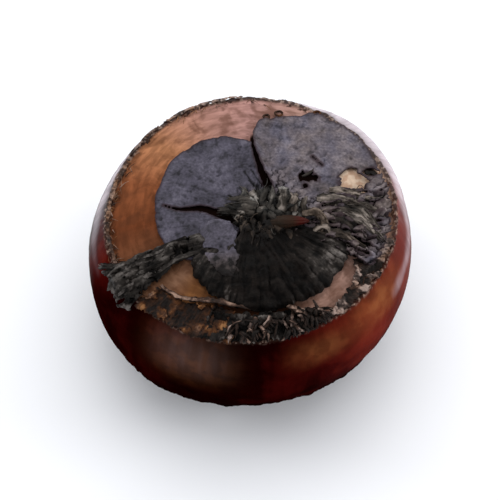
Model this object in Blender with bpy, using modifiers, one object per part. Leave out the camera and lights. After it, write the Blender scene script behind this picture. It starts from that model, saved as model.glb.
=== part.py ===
"""A water chestnut: a squat corm whose crown carries torn papery scales, a withered tuft and a shoot tip.

Blender 4.5. Metres, +Z up. The corm rests on the flat ring of its base, and the origin is the centre of the
whole bounding box at that height. Azimuths are degrees counterclockwise from +X, seen from above, and -Y is
the front. A place on the skin is an azimuth and a distance from the crown's centre, measured along the skin.
"""

import math
import random

import bmesh
import bpy
from mathutils import Vector, noise

MM = 0.001

# Corm: a superellipse below the equator, another above it up to the shoulder, and a low crown
BODY_RADIUS = 19.0 * MM
EQUATOR_HEIGHT = 12.5 * MM
LOWER_DEPTH = 13.2 * MM
LOWER_POWER = 2.5
UPPER_RISE = 13.6 * MM
UPPER_POWER = 2.3
SHOULDER_RADIUS = 16.8 * MM
CROWN_RISE = 2.7 * MM
CROWN_POWER = 2.4
SEGMENTS = 72

# Base: a flat ring round a shallow dish, with the broken end of the stolon standing in the dish
FLAT_RING_INNER = 5.0 * MM
DISH_DEPTH = 1.0 * MM
DISH_FLOOR_RADIUS = 3.9 * MM
STOLON_RADIUS = 1.7 * MM
STOLON_CLEARANCE = 0.4 * MM

# Node rings: the lines round the corm where scales were attached, each with a lip on its lower side
SHOULDER_LIP = 0.35 * MM
NODE_LIP = 0.28 * MM
NODE_HEIGHTS = (6.2 * MM, 2.6 * MM)
LIP_FADE_BELOW = 1.0 * MM
LIP_FADE_ABOVE = 0.25 * MM

# Uneven growth, which bends every piece alike, so that their gaps stay even
OVAL = 0.010
THREE_LOBED = 0.007
LUMPS = 0.25 * MM
LUMP_SPACING = 13.0 * MM
LEAN_RIGHT = 0.018
LEAN_BACK = -0.012
FLAT_BELOW = 5.0 * MM
# The shoulder is fuller at the back right: its azimuth and spread, its share of the radius, and its heights
FULL_AZIMUTH = 47
FULL_SPREAD = 42
FULL_SWELL = 0.05
FULL_RISE = (8.0 * MM, 15.0 * MM)
FULL_FALL = (18.2 * MM, 19.9 * MM)

# Scales: sheets over the crown, whose outer edges are (azimuth, share of the crown's reach) points. All that
# lies on the crown sits forward by this share of the crown's rise above the shoulder.
FORWARD_SHARE = 0.61
CLEARANCE = 0.32 * MM
SCALE_THICKNESS = 0.60 * MM
CROWN_HOLLOW = 2.6 * MM
OUTER_SCALE_EDGE = (
    (-26, 0.93), (0, 0.97), (45, 0.985), (66, 0.96), (76, 0.90), (84, 0.80), (90, 0.62),
    (108, 0.66), (140, 0.70), (165, 0.66), (190, 0.61), (205, 0.56), (222, 0.50),
)
INNER_SCALE_EDGE = ((226, 0.60), (245, 0.68), (270, 0.74), (300, 0.80), (322, 0.82), (331, 0.80))
CUTTER_DEPTH = 6.0 * MM
HOLE_SIDES = 9

# Tuft: a low mound with withered blades, and the shoot's tip beside it
MOUND_RADIUS = 2.0 * MM
MOUND_FLATNESS = 0.66
MOUND_LIFT = MOUND_RADIUS * MOUND_FLATNESS * 1.17 + CLEARANCE
BLADE_THICKNESS = 0.6 * MM
BLADE_STOPS = 5
BLADE_ARCH = 0.5 * MM
LONG_BLADES = ((4, 11.0 * MM), (27, 10.5 * MM), (128, 8.0 * MM))
LONG_BLADE_WIDTH = 1.5 * MM
SHORT_BLADE_HEADINGS = (52, 80, 104, 152, 180, 206, 232, 262, 288)
SHOOT_RADIUS = 0.75 * MM
SHOOT_ROUTE = (
    (-25, 3.5 * MM, 2.5 * MM), (-22, 4.6 * MM, 2.8 * MM), (-19, 5.9 * MM, 2.8 * MM), (-18, 7.5 * MM, 2.3 * MM),
)
SHOOT_SHARES = (1.0, 0.95, 0.65, 0.15)
SEED = 7

MERIDIAN_STEPS = 160
NORMAL_REACH = 0.6 * MM


def mix(low, high, share):
    return low + (high - low) * share


def smooth_share(value, low, high):
    """0 below low, 1 above high, with a smooth turn between."""
    share = min(max((value - low) / (high - low), 0.0), 1.0)
    return share * share * (3 - 2 * share)


def superellipse(share, power):
    """The other half-axis share of a superellipse at this share of one half-axis."""
    return max(1.0 - share**power, 0.0) ** (1.0 / power)


def side_radius(height):
    if height < EQUATOR_HEIGHT:
        return BODY_RADIUS * superellipse((EQUATOR_HEIGHT - height) / LOWER_DEPTH, LOWER_POWER)
    return BODY_RADIUS * superellipse((height - EQUATOR_HEIGHT) / UPPER_RISE, UPPER_POWER)


SHOULDER_HEIGHT = EQUATOR_HEIGHT + UPPER_RISE * superellipse(SHOULDER_RADIUS / BODY_RADIUS, UPPER_POWER)


def crown_height(radius):
    return SHOULDER_HEIGHT + CROWN_RISE * (1.0 - (radius / SHOULDER_RADIUS) ** CROWN_POWER)


def meridian():
    """(distance, radius, height) along the smooth skin, from the crown's centre to the flat base."""
    points = []
    for i in range(MERIDIAN_STEPS):
        radius = SHOULDER_RADIUS * i / MERIDIAN_STEPS
        points.append((radius, crown_height(radius)))
    for i in range(MERIDIAN_STEPS + 1):
        height = SHOULDER_HEIGHT * (1.0 - i / MERIDIAN_STEPS)
        points.append((side_radius(height), height))
    table = [(0.0, *points[0])]
    for before, after in zip(points, points[1:]):
        table.append((table[-1][0] + math.dist(before, after), *after))
    return table


MERIDIAN = meridian()
SKIN_LENGTH = MERIDIAN[-1][0]
SHOULDER_DISTANCE = MERIDIAN[MERIDIAN_STEPS][0]


def skin_at(distance):
    """Radius and height of the smooth skin at a distance from the crown's centre."""
    distance = min(max(distance, 0.0), SKIN_LENGTH)
    low, high = 0, len(MERIDIAN) - 1
    while high - low > 1:
        middle = (low + high) // 2
        if MERIDIAN[middle][0] <= distance:
            low = middle
        else:
            high = middle
    (near, r0, z0), (far, r1, z1) = MERIDIAN[low], MERIDIAN[high]
    share = (distance - near) / (far - near)
    return mix(r0, r1, share), mix(z0, z1, share)


def distance_at_height(height):
    """Distance along the skin of a height on the side."""
    return min(MERIDIAN[MERIDIAN_STEPS:], key=lambda row: abs(row[2] - height))[0]


NODE_DISTANCES = [distance_at_height(height) for height in NODE_HEIGHTS]


def lip(distance, line, height):
    """The raised edge below a node line, steep on its upper side and fading on its lower side."""
    fade = LIP_FADE_BELOW if distance > line else LIP_FADE_ABOVE
    return height * math.exp(-abs(distance - line) / fade)


def skin_relief(distance):
    """How far the node lips stand out of the smooth skin."""
    relief = lip(distance, SHOULDER_DISTANCE, SHOULDER_LIP)
    for line in NODE_DISTANCES:
        relief += lip(distance, line, NODE_LIP)
    return relief


def skin_normal(distance):
    """Radial and upward parts of the outward normal, averaged over a short stretch of skin."""
    r0, z0 = skin_at(distance - NORMAL_REACH)
    r1, z1 = skin_at(distance + NORMAL_REACH)
    length = math.hypot(r1 - r0, z1 - z0)
    return (z0 - z1) / length, (r1 - r0) / length


def forward(azimuth, distance):
    """The azimuth and distance of a place on the crown, moved towards the front with the crown's middle."""
    turn = math.radians(azimuth)
    rise = max(skin_at(distance)[1] - SHOULDER_HEIGHT, 0.0)
    x = distance * math.cos(turn)
    y = distance * math.sin(turn) - FORWARD_SHARE * rise
    return math.degrees(math.atan2(y, x)), math.hypot(x, y)


def place(azimuth, distance, lift):
    """The point that stands lift above the skin, for an azimuth in degrees and a distance before forward moves it."""
    azimuth, distance = forward(azimuth, distance)
    radius, height = skin_at(distance)
    out, up = skin_normal(distance)
    radius += lift * out
    turn = math.radians(azimuth)
    return Vector((radius * math.cos(turn), radius * math.sin(turn), height + lift * up))


def grown(point):
    """Where uneven growth moves a point. The base stays flat."""
    share = smooth_share(point.z, 0.0, FLAT_BELOW)
    turn = math.atan2(point.y, point.x)
    swell = OVAL * math.cos(2 * turn - 1.1) + THREE_LOBED * math.cos(3 * turn + 0.7)
    fullness = 1.0 - smooth_share(abs(math.degrees(turn) - FULL_AZIMUTH), 0.0, FULL_SPREAD)
    swell += FULL_SWELL * fullness * smooth_share(point.z, *FULL_RISE) * (1.0 - smooth_share(point.z, *FULL_FALL))
    lump = LUMPS * noise.noise(point / LUMP_SPACING) / BODY_RADIUS
    wide = 1.0 + share * (swell + lump)
    lean = share * (LEAN_RIGHT * point.x + LEAN_BACK * point.y)
    return Vector((point.x * wide, point.y * wide, point.z + lean))


def outline(points, azimuth):
    """A reach along the skin, as a share of the crown's, read between (azimuth, share) points."""
    for (a0, s0), (a1, s1) in zip(points, points[1:]):
        if azimuth <= a1:
            return mix(s0, s1, smooth_share(azimuth, a0, a1)) * SHOULDER_DISTANCE
    return points[-1][1] * SHOULDER_DISTANCE


def ragged(azimuth, depth, spacing, offset):
    """A torn edge's notches, by noise along the azimuth."""
    return depth * noise.noise(Vector((azimuth / spacing, offset, 0.0)))


def material(name, colour, roughness):
    made = bpy.data.materials.new(name)
    made.use_nodes = True
    shader = made.node_tree.nodes["Principled BSDF"]
    shader.inputs["Base Color"].default_value = (*colour, 1.0)
    shader.inputs["Roughness"].default_value = roughness
    shader.inputs["Metallic"].default_value = 0.0
    return made


def collection(name):
    made = bpy.data.collections.new(name)
    bpy.context.scene.collection.children.link(made)
    return made


def add_object(name, data, group):
    made = bpy.data.objects.new(name, data)
    group.objects.link(made)
    return made


def evaluated_mesh(obj):
    """The object's mesh with its modifiers, in world space."""
    bpy.context.view_layer.update()
    graph = bpy.context.evaluated_depsgraph_get()
    mesh = bpy.data.meshes.new_from_object(obj.evaluated_get(graph), depsgraph=graph)
    mesh.transform(obj.matrix_world)
    return mesh


def welded(mesh):
    """Joins a curve's caps to its sides."""
    bm = bmesh.new()
    bm.from_mesh(mesh)
    bmesh.ops.remove_doubles(bm, verts=bm.verts, dist=0.00001)
    bmesh.ops.recalc_face_normals(bm, faces=bm.faces)
    bm.to_mesh(mesh)
    bm.free()
    return mesh


def settle(obj, finish, group):
    """Replaces a modelled object by its final mesh: modifiers applied, bent by the uneven growth."""
    mesh = evaluated_mesh(obj)
    for vertex in mesh.vertices:
        vertex.co = grown(vertex.co)
    mesh.materials.clear()
    mesh.materials.append(finish)
    mesh.shade_smooth()
    mesh.set_sharp_from_angle(angle=math.radians(50))
    name = obj.name
    bpy.data.objects.remove(obj)
    return add_object(name, mesh, group)


def corm_rows():
    """Distances of the corm's profile points, closer together at the node lines."""
    rows = [SHOULDER_DISTANCE * i / 7 for i in range(7)]
    side = SKIN_LENGTH - SHOULDER_DISTANCE
    rows += [SHOULDER_DISTANCE + side * i / 13 for i in range(1, 14)]
    for line in (SHOULDER_DISTANCE, *NODE_DISTANCES):
        rows = [row for row in rows if not line - 1.0 * MM < row < line + 1.4 * MM]
        rows += [line - 0.5 * MM, line, line + 0.7 * MM]
    return sorted(rows)


def corm(group):
    """The tuber, turned from its profile: crown, shoulder, side with node lips, base ring, dish and stolon."""
    profile = []
    for distance in corm_rows():
        out, up = skin_normal(distance)
        radius, height = skin_at(distance)
        relief = skin_relief(distance) if distance < SKIN_LENGTH else 0.0
        profile.append((radius + relief * out, height + relief * up))
    profile += [
        (FLAT_RING_INNER, 0.0),
        (DISH_FLOOR_RADIUS, DISH_DEPTH),
        (STOLON_RADIUS, DISH_DEPTH),
        (STOLON_RADIUS * 0.85, STOLON_CLEARANCE),
        (0.0, STOLON_CLEARANCE),
    ]
    profile[0] = (0.0, profile[0][1])
    mesh = bpy.data.meshes.new("corm_profile")
    edges = [(i, i + 1) for i in range(len(profile) - 1)]
    mesh.from_pydata([(radius, 0.0, height) for radius, height in profile], edges, [])
    made = add_object("corm", mesh, group)
    turned = made.modifiers.new("turned", "SCREW")
    turned.axis = "Z"
    turned.steps = SEGMENTS
    turned.render_steps = SEGMENTS
    turned.use_merge_vertices = True
    turned.merge_threshold = 0.00001
    return made


def draped_scale(name, group, arc, inner, outer, lift, columns, rows):
    """A papery scale: a grid laid on the skin between two outlines, thickened away from the skin.

    inner and outer give distances along the skin at an azimuth, and lift the extra height above the skin at
    an azimuth and a share of the way out.
    """
    bm = bmesh.new()
    bmesh.ops.create_grid(bm, x_segments=columns, y_segments=rows, size=0.5)
    for vertex in bm.verts:
        azimuth = mix(arc[1], arc[0], vertex.co.x + 0.5)
        share = vertex.co.y + 0.5
        distance = mix(inner(azimuth), outer(azimuth), share)
        above = skin_relief(distance) + CLEARANCE + lift(azimuth, share)
        vertex.co = place(azimuth, distance, above)
    mesh = bpy.data.meshes.new(name)
    bm.to_mesh(mesh)
    bm.free()
    made = add_object(name, mesh, group)
    thick = made.modifiers.new("thick", "SOLIDIFY")
    thick.thickness = SCALE_THICKNESS
    thick.offset = 1.0
    return made


def cutter(name, group, target, bm, azimuth, distance, turn):
    """Cuts the cutter's shape out of the target at a place on the skin, its X axis turned from the radius."""
    mesh = bpy.data.meshes.new(name)
    bm.to_mesh(mesh)
    bm.free()
    made = add_object(name, mesh, group)
    made.location = place(azimuth, distance, 0.5 * MM)
    made.rotation_euler.z = math.radians(azimuth + turn)
    made.hide_render = True
    made.display_type = "WIRE"
    cut = target.modifiers.new(name, "BOOLEAN")
    cut.operation = "DIFFERENCE"
    cut.solver = "EXACT"
    cut.object = made


def tear(length, wide, narrow):
    """A tapered prism along X, wide at the end nearest the crown's centre, to cut a slit."""
    bm = bmesh.new()
    bmesh.ops.create_cube(bm, size=1.0)
    for vertex in bm.verts:
        width = wide if vertex.co.x < 0 else narrow
        vertex.co = Vector((vertex.co.x * length, vertex.co.y * width, vertex.co.z * CUTTER_DEPTH))
    return bm


def torn_hole(width, length):
    """An uneven prism, to cut a ragged hole."""
    draw = random.Random(SEED)
    bm = bmesh.new()
    bmesh.ops.create_cone(
        bm, cap_ends=True, segments=HOLE_SIDES, radius1=0.5, radius2=0.5, depth=CUTTER_DEPTH
    )
    sizes = [draw.uniform(0.75, 1.1) for _ in range(HOLE_SIDES)]
    for i, vertex in enumerate(sorted(bm.verts, key=lambda v: math.atan2(v.co.y, v.co.x))):
        size = sizes[i // 2]
        vertex.co = Vector((vertex.co.x * length * size, vertex.co.y * width * size, vertex.co.z))
    return bm


def outer_scale(group, cutters):
    """The grey outer scale: a round left lobe and a wide right lobe, torn apart at the back."""

    def inner(azimuth):
        return CROWN_HOLLOW

    def outer(azimuth):
        rough = 0.35 * MM if azimuth < 90 else 0.15 * MM
        return outline(OUTER_SCALE_EDGE, azimuth) + ragged(azimuth, rough, 4.0, 1.7)

    def lift(azimuth, share):
        right_lobe = 0.45 * MM * (1.0 - smooth_share(azimuth, 80, 92))
        ridge = 0.25 * MM * smooth_share(azimuth, 160, 176) * (1.0 - smooth_share(azimuth, 179, 183))
        wave = 0.5 + 0.5 * math.cos(math.radians(azimuth) * 30)
        flutes = 0.14 * MM * wave * (1.0 - smooth_share(azimuth, 30, 50))
        return (right_lobe + flutes) * share + ridge

    made = draped_scale("outer_scale", group, (-26, 222), inner, outer, lift, 83, 7)
    slit = tear(8.8 * MM, 1.3 * MM, 0.2 * MM)
    cutter("left_slit_cutter", cutters, made, slit, 181.7, 6.1 * MM, 2)
    slit = tear(9.0 * MM, 0.7 * MM, 0.5 * MM)
    cutter("back_slit_cutter", cutters, made, slit, 74, 8.0 * MM, 24)
    cutter("hole_cutter", cutters, made, torn_hole(3.0 * MM, 2.0 * MM), 24, 13.2 * MM, 0)
    return made


def inner_scale(group):
    """The near-black inner scale, fluted and raised, on the front of the crown."""

    def inner(azimuth):
        return CROWN_HOLLOW

    def outer(azimuth):
        return outline(INNER_SCALE_EDGE, azimuth) + ragged(azimuth, 0.5 * MM, 5.0, 4.1)

    def lift(azimuth, share):
        flutes = 0.22 * MM * (1.0 + math.cos(math.radians(azimuth) * 22))
        swell = 1.2 * MM * math.sin(math.pi * min(share * 0.8 + 0.2, 1.0))
        middle = smooth_share(azimuth, 226, 262) * (1.0 - smooth_share(azimuth, 318, 330))
        return flutes * share + swell * middle

    return draped_scale("inner_scale", group, (226, 331), inner, outer, lift, 43, 6)


def torn_flap(group):
    """A crumpled strap of scale that runs from the left lobe out over the shoulder."""

    def inner(azimuth):
        return 0.63 * SHOULDER_DISTANCE

    def outer(azimuth):
        return 1.10 * SHOULDER_DISTANCE + ragged(azimuth, 1.6 * MM, 5.0, 2.9)

    def lift(azimuth, share):
        folds = 0.35 * MM * (1.0 + math.cos(math.radians(azimuth - 203) * 36))
        return folds + 0.35 * MM * math.sin(math.pi * share)

    return draped_scale("torn_flap", group, (203, 221), inner, outer, lift, 11, 8)


def ring_scale(name, group, arc, inner_share, outer_share, curl, offset):
    """A scrap of the scale that was attached at the shoulder, its inner edge curled up."""

    def inner(azimuth):
        return inner_share * SHOULDER_DISTANCE + ragged(azimuth, 0.9 * MM, 6.0, offset)

    def outer(azimuth):
        return outer_share * SHOULDER_DISTANCE + ragged(azimuth, 1.5 * MM, 4.0, offset + 5.0)

    def lift(azimuth, share):
        crumple = 0.5 * MM * abs(noise.noise(Vector((azimuth / 7.0, share * 1.5, offset))))
        return crumple + curl * (1.0 - share) ** 2

    columns = max(8, round((arc[1] - arc[0]) / 2.6))
    return draped_scale(name, group, arc, inner, outer, lift, columns, 4)


def ribbon(name, group, route, width, twist):
    """A tapered blade along a route of (azimuth, distance, lift) points."""
    data = bpy.data.curves.new(name, "CURVE")
    data.dimensions = "3D"
    data.twist_mode = "Z_UP"
    data.bevel_depth = BLADE_THICKNESS / 2
    data.bevel_resolution = 1
    data.extrude = (width - BLADE_THICKNESS) / 2
    data.use_fill_caps = True
    spline = data.splines.new("POLY")
    spline.points.add(len(route) - 1)
    for i, (point, stop) in enumerate(zip(spline.points, route)):
        share = i / (len(route) - 1)
        point.co = (*place(*stop), 1.0)
        point.radius = mix(1.0, 0.45, share**2)
        point.tilt = math.pi / 2 + twist * share
    curve = add_object(name, data, group)
    mesh = welded(evaluated_mesh(curve))
    bpy.data.objects.remove(curve)
    return add_object(name, mesh, group)


def blade_route(heading, length, first_lift, last_lift, bend):
    """Stops from the middle of the mound outwards, over a low arch and turning by bend degrees."""
    route = []
    for step in range(BLADE_STOPS):
        share = step / (BLADE_STOPS - 1)
        lift = mix(first_lift, last_lift, share) + BLADE_ARCH * math.sin(math.pi * share)
        route.append((heading + bend * share, mix(0.5 * MM, length, share), lift))
    return route


def tuft(group):
    """The withered leaf bases: a low mound with shrivelled blades that spread from it."""
    draw = random.Random(SEED)
    bm = bmesh.new()
    bmesh.ops.create_icosphere(bm, subdivisions=2, radius=MOUND_RADIUS)
    for vertex in bm.verts:
        vertex.co *= 1.0 + 0.22 * noise.noise(vertex.co / MOUND_RADIUS * 1.9)
        vertex.co.z *= MOUND_FLATNESS
    mesh = bpy.data.meshes.new("tuft")
    bm.to_mesh(mesh)
    bm.free()
    mound = add_object("tuft", mesh, group)
    mound.location = place(0, 0, MOUND_LIFT)
    blades = collection("tuft_blades")
    for i, (heading, length) in enumerate(LONG_BLADES):
        route = blade_route(heading, length, 2.6 * MM, 2.15 * MM, 0)
        ribbon(f"long_blade_{i}", blades, route, LONG_BLADE_WIDTH, 0.25)
    for i, heading in enumerate(SHORT_BLADE_HEADINGS):
        length = draw.uniform(3.2, 5.6) * MM
        first_lift = draw.uniform(2.3, 2.7) * MM
        last_lift = first_lift + draw.uniform(0.0, 0.6) * MM
        route = blade_route(heading, length, first_lift, last_lift, draw.uniform(-16, 16))
        ribbon(f"short_blade_{i}", blades, route, draw.uniform(1.3, 2.1) * MM, draw.uniform(-1.2, 1.2))
    union = mound.modifiers.new("blades", "BOOLEAN")
    union.operation = "UNION"
    union.solver = "EXACT"
    union.operand_type = "COLLECTION"
    union.collection = blades
    joined = evaluated_mesh(mound)
    for blade in list(blades.objects):
        bpy.data.objects.remove(blade)
    bpy.data.collections.remove(blades)
    bpy.data.objects.remove(mound)
    return add_object("tuft", joined, group)


def shoot(group):
    """The shoot's tip, a small curved red cone that leans out of the tuft to the right."""
    data = bpy.data.curves.new("shoot", "CURVE")
    data.dimensions = "3D"
    data.bevel_depth = SHOOT_RADIUS
    data.bevel_resolution = 2
    data.use_fill_caps = True
    spline = data.splines.new("POLY")
    spline.points.add(len(SHOOT_ROUTE) - 1)
    for point, stop, share in zip(spline.points, SHOOT_ROUTE, SHOOT_SHARES):
        point.co = (*place(*stop), 1.0)
        point.radius = share
    curve = add_object("shoot", data, group)
    mesh = welded(evaluated_mesh(curve))
    bpy.data.objects.remove(curve)
    return add_object("shoot", mesh, group)


def centre_on_base(objects):
    """Moves the objects so that the origin is the bottom centre of their bounding box."""
    points = [vertex.co for obj in objects for vertex in obj.data.vertices]
    low = Vector([min(point[axis] for point in points) for axis in range(3)])
    high = Vector([max(point[axis] for point in points) for axis in range(3)])
    shift = Vector((-(low.x + high.x) / 2, -(low.y + high.y) / 2, -low.z))
    for obj in objects:
        for vertex in obj.data.vertices:
            vertex.co += shift


def clear_scene():
    for obj in list(bpy.data.objects):
        bpy.data.objects.remove(obj, do_unlink=True)


def main():
    clear_scene()
    group = collection("water_chestnut")
    cutters = collection("cutters")
    skin = material("corm_skin", (0.075, 0.014, 0.009), 0.28)
    grey = material("outer_scale_paper", (0.075, 0.070, 0.085), 0.6)
    black = material("inner_scale_paper", (0.018, 0.013, 0.011), 0.55)
    brown = material("ring_scale_paper", (0.055, 0.032, 0.020), 0.65)
    fibre = material("tuft_fibre", (0.035, 0.028, 0.022), 0.7)
    red = material("shoot_skin", (0.22, 0.045, 0.035), 0.45)
    modelled = [
        (corm(group), skin),
        (outer_scale(group, cutters), grey),
        (inner_scale(group), black),
        (torn_flap(group), black),
        (ring_scale("ring_scale_front_left", group, (224, 262), 0.84, 1.03, 0.5 * MM, 0.3), brown),
        (ring_scale("ring_scale_front", group, (264, 299), 0.87, 1.04, 0.3 * MM, 1.1), black),
        (ring_scale("ring_scale_right", group, (301, 330), 0.94, 1.05, 0.1 * MM, 2.2), brown),
        (ring_scale("ring_scale_left", group, (150, 200), 0.95, 1.03, 0.1 * MM, 3.4), brown),
        (ring_scale("ring_scale_back", group, (94, 148), 0.96, 1.03, 0.1 * MM, 4.6), brown),
        (tuft(group), fibre),
        (shoot(group), red),
    ]
    finished = [settle(obj, finish, group) for obj, finish in modelled]
    for obj in list(cutters.objects):
        bpy.data.objects.remove(obj)
    centre_on_base(finished)


main()
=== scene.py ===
"""The looks of the water chestnut: glossy skin, torn papery scales, withered tuft and shoot.

Shapes are worked out in millimetres and become metres in add_piece. +Z is up and -Y is the front. Azimuths
are degrees counterclockwise from +X, seen from above. A place on the skin is an azimuth and a distance from
the crown's centre, measured along the skin. On the crown it is also x and y, that distance along the azimuth.
"""

import itertools
import math

import bmesh
import bpy
import numpy as np
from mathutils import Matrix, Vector, noise


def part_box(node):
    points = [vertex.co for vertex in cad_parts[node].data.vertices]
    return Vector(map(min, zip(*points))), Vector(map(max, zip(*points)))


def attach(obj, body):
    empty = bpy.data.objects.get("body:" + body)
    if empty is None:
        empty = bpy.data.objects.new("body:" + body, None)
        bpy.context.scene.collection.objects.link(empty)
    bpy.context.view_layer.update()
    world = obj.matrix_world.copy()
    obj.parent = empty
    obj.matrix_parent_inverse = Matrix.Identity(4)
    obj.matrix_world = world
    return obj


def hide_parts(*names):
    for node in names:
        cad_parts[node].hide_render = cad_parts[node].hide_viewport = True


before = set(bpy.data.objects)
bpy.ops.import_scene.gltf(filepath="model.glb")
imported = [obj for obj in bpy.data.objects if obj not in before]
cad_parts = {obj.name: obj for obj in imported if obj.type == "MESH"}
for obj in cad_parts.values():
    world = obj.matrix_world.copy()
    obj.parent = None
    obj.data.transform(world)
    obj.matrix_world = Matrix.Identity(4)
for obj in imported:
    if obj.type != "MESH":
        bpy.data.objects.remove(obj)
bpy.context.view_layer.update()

MM = 0.001
SEED = 11
ROUTE_POINTS = 200

# The smooth skin, as in the CAD source, in millimetres
BODY_RADIUS = 19.0
EQUATOR_HEIGHT = 12.5
LOWER_DEPTH = 13.2
LOWER_POWER = 2.5
UPPER_RISE = 13.6
UPPER_POWER = 2.3
SHOULDER_RADIUS = 16.8
CROWN_RISE = 2.7
CROWN_POWER = 2.4
NODE_HEIGHTS = (6.2, 2.6)
OVAL = 0.010
THREE_LOBED = 0.007
LUMPS = 0.25
LUMP_SPACING = 13.0
LEAN_RIGHT = 0.018
LEAN_BACK = -0.012
FLAT_BELOW = 5.0
FULL_AZIMUTH = 47
FULL_SPREAD = 42
FULL_SWELL = 0.05
FULL_RISE = (8.0, 15.0)
FULL_FALL = (18.2, 19.9)
# What lies on the crown sits forward by this share of the crown's rise above the shoulder
FORWARD_SHARE = 0.61
MERIDIAN_STEPS = 160
NORMAL_REACH = 0.6


def mix(low, high, share):
    """low where the share is 0, high where it is 1."""
    return low + (high - low) * share


def smooth_share(value, low, high):
    """0 below low, 1 above high, with a smooth turn between."""
    share = np.clip((value - low) / (high - low), 0.0, 1.0)
    return share * share * (3 - 2 * share)


def bump_at(value, centre, reach):
    """1 at the centre, fading to 0 at the reach on both sides."""
    return 1.0 - smooth_share(np.abs(value - centre), 0.0, reach)


def turned(azimuth, start):
    """The azimuth as a value from start to start + 360."""
    return (azimuth - start) % 360 + start


def polar(x, y):
    """The azimuth and the distance of x and y."""
    return np.degrees(np.arctan2(y, x)), np.hypot(x, y)


def cartesian(azimuth, distance):
    """The x and y of an azimuth and a distance."""
    turn = np.radians(azimuth)
    return distance * np.cos(turn), distance * np.sin(turn)


def rows_of(x, y, z=0.0):
    """Rows of x and y with the same z."""
    return np.stack([x, y, np.full(len(x), z)], axis=1)


def unit(rows):
    """Rows made 1 long."""
    return rows / np.linalg.norm(rows, axis=1, keepdims=True)


# Noise

TABLE_SIZE = 256
TABLE = np.random.RandomState(SEED).permutation(TABLE_SIZE)
STEPS = itertools.product((-1, 0, 1), repeat=3)
GRADIENTS = np.array([step for step in STEPS if sum(map(abs, step)) == 2], float)
OCTAVE_SHARE = 0.55


def perlin(points, seed):
    """Smooth noise from about -1 to 1 at each row of points, with lattice points one unit apart."""
    points = np.asarray(points, float)
    cell = np.floor(points).astype(int)
    local = points - cell
    fade = local**3 * (local * (local * 6 - 15) + 10)
    total = np.zeros(len(points))
    for corner in itertools.product((0, 1), repeat=3):
        place_in = cell + corner
        pick = seed
        for axis in range(3):
            pick = TABLE[(pick + place_in[:, axis]) % TABLE_SIZE]
        slope = (GRADIENTS[pick % len(GRADIENTS)] * (local - corner)).sum(axis=1)
        weight = np.where(corner, fade, 1 - fade).prod(axis=1)
        total += weight * slope
    return total


def fractal(points, spacing, octaves, seed):
    """Noise with finer and fainter copies of itself, its coarsest bumps spacing apart."""
    points = np.asarray(points, float) / spacing
    total = np.zeros(len(points))
    for octave in range(octaves):
        total += perlin(points * 2**octave, seed + 17 * octave) * OCTAVE_SHARE**octave
    return total


def ridged(points, spacing, octaves, seed):
    """Sharp crests where the noise crosses zero, from 0 to 1."""
    return 1.0 - np.minimum(np.abs(fractal(points, spacing, octaves, seed)) * 2.2, 1.0)


def flat_noise(first, second, seed, octaves=2):
    """Noise over two coordinates that are already in units of its spacing."""
    first, second = np.broadcast_arrays(first, second)
    rows = rows_of(first.ravel(), second.ravel(), seed * 3.7)
    return fractal(rows, 1.0, octaves, seed).reshape(first.shape)


# The skin


def superellipse(share, power):
    """The other coordinate of a superellipse with both half axes 1."""
    return np.maximum(1.0 - np.clip(share, 0, 1) ** power, 0.0) ** (1.0 / power)


def side_radius(height):
    """The smooth skin's radius at a height on the side."""
    below = superellipse((EQUATOR_HEIGHT - height) / LOWER_DEPTH, LOWER_POWER)
    above = superellipse((height - EQUATOR_HEIGHT) / UPPER_RISE, UPPER_POWER)
    return BODY_RADIUS * np.where(height < EQUATOR_HEIGHT, below, above)


SHOULDER_RISE = float(UPPER_RISE * superellipse(SHOULDER_RADIUS / BODY_RADIUS, UPPER_POWER))
SHOULDER_HEIGHT = EQUATOR_HEIGHT + SHOULDER_RISE


def meridian():
    """(distance, radius, height) rows along the smooth skin, from the crown's centre to the flat base."""
    crown = SHOULDER_RADIUS * np.arange(MERIDIAN_STEPS) / MERIDIAN_STEPS
    crown_height = SHOULDER_HEIGHT + CROWN_RISE * (1.0 - (crown / SHOULDER_RADIUS) ** CROWN_POWER)
    side_height = SHOULDER_HEIGHT * (1.0 - np.arange(MERIDIAN_STEPS + 1) / MERIDIAN_STEPS)
    radius = np.concatenate([crown, side_radius(side_height)])
    height = np.concatenate([crown_height, side_height])
    steps = np.hypot(np.diff(radius), np.diff(height))
    return np.concatenate([[0.0], np.cumsum(steps)]), radius, height


MERIDIAN = meridian()
SKIN_LENGTH = MERIDIAN[0][-1]
SHOULDER_DISTANCE = MERIDIAN[0][MERIDIAN_STEPS]


def distance_at_height(height):
    """Distance along the skin of a height on the side."""
    side = slice(MERIDIAN_STEPS, None)
    return MERIDIAN[0][side][np.argmin(np.abs(MERIDIAN[2][side] - height))]


NODE_DISTANCES = [distance_at_height(height) for height in NODE_HEIGHTS]


def skin_at(distance):
    """The radius and height of the smooth skin."""
    return np.interp(distance, MERIDIAN[0], MERIDIAN[1]), np.interp(distance, MERIDIAN[0], MERIDIAN[2])


def skin_normal(distance):
    """Radial and upward parts of the outward normal, averaged over a short stretch of skin."""
    r0, z0 = skin_at(distance - NORMAL_REACH)
    r1, z1 = skin_at(distance + NORMAL_REACH)
    length = np.hypot(r1 - r0, z1 - z0)
    return (z0 - z1) / length, (r1 - r0) / length


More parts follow.
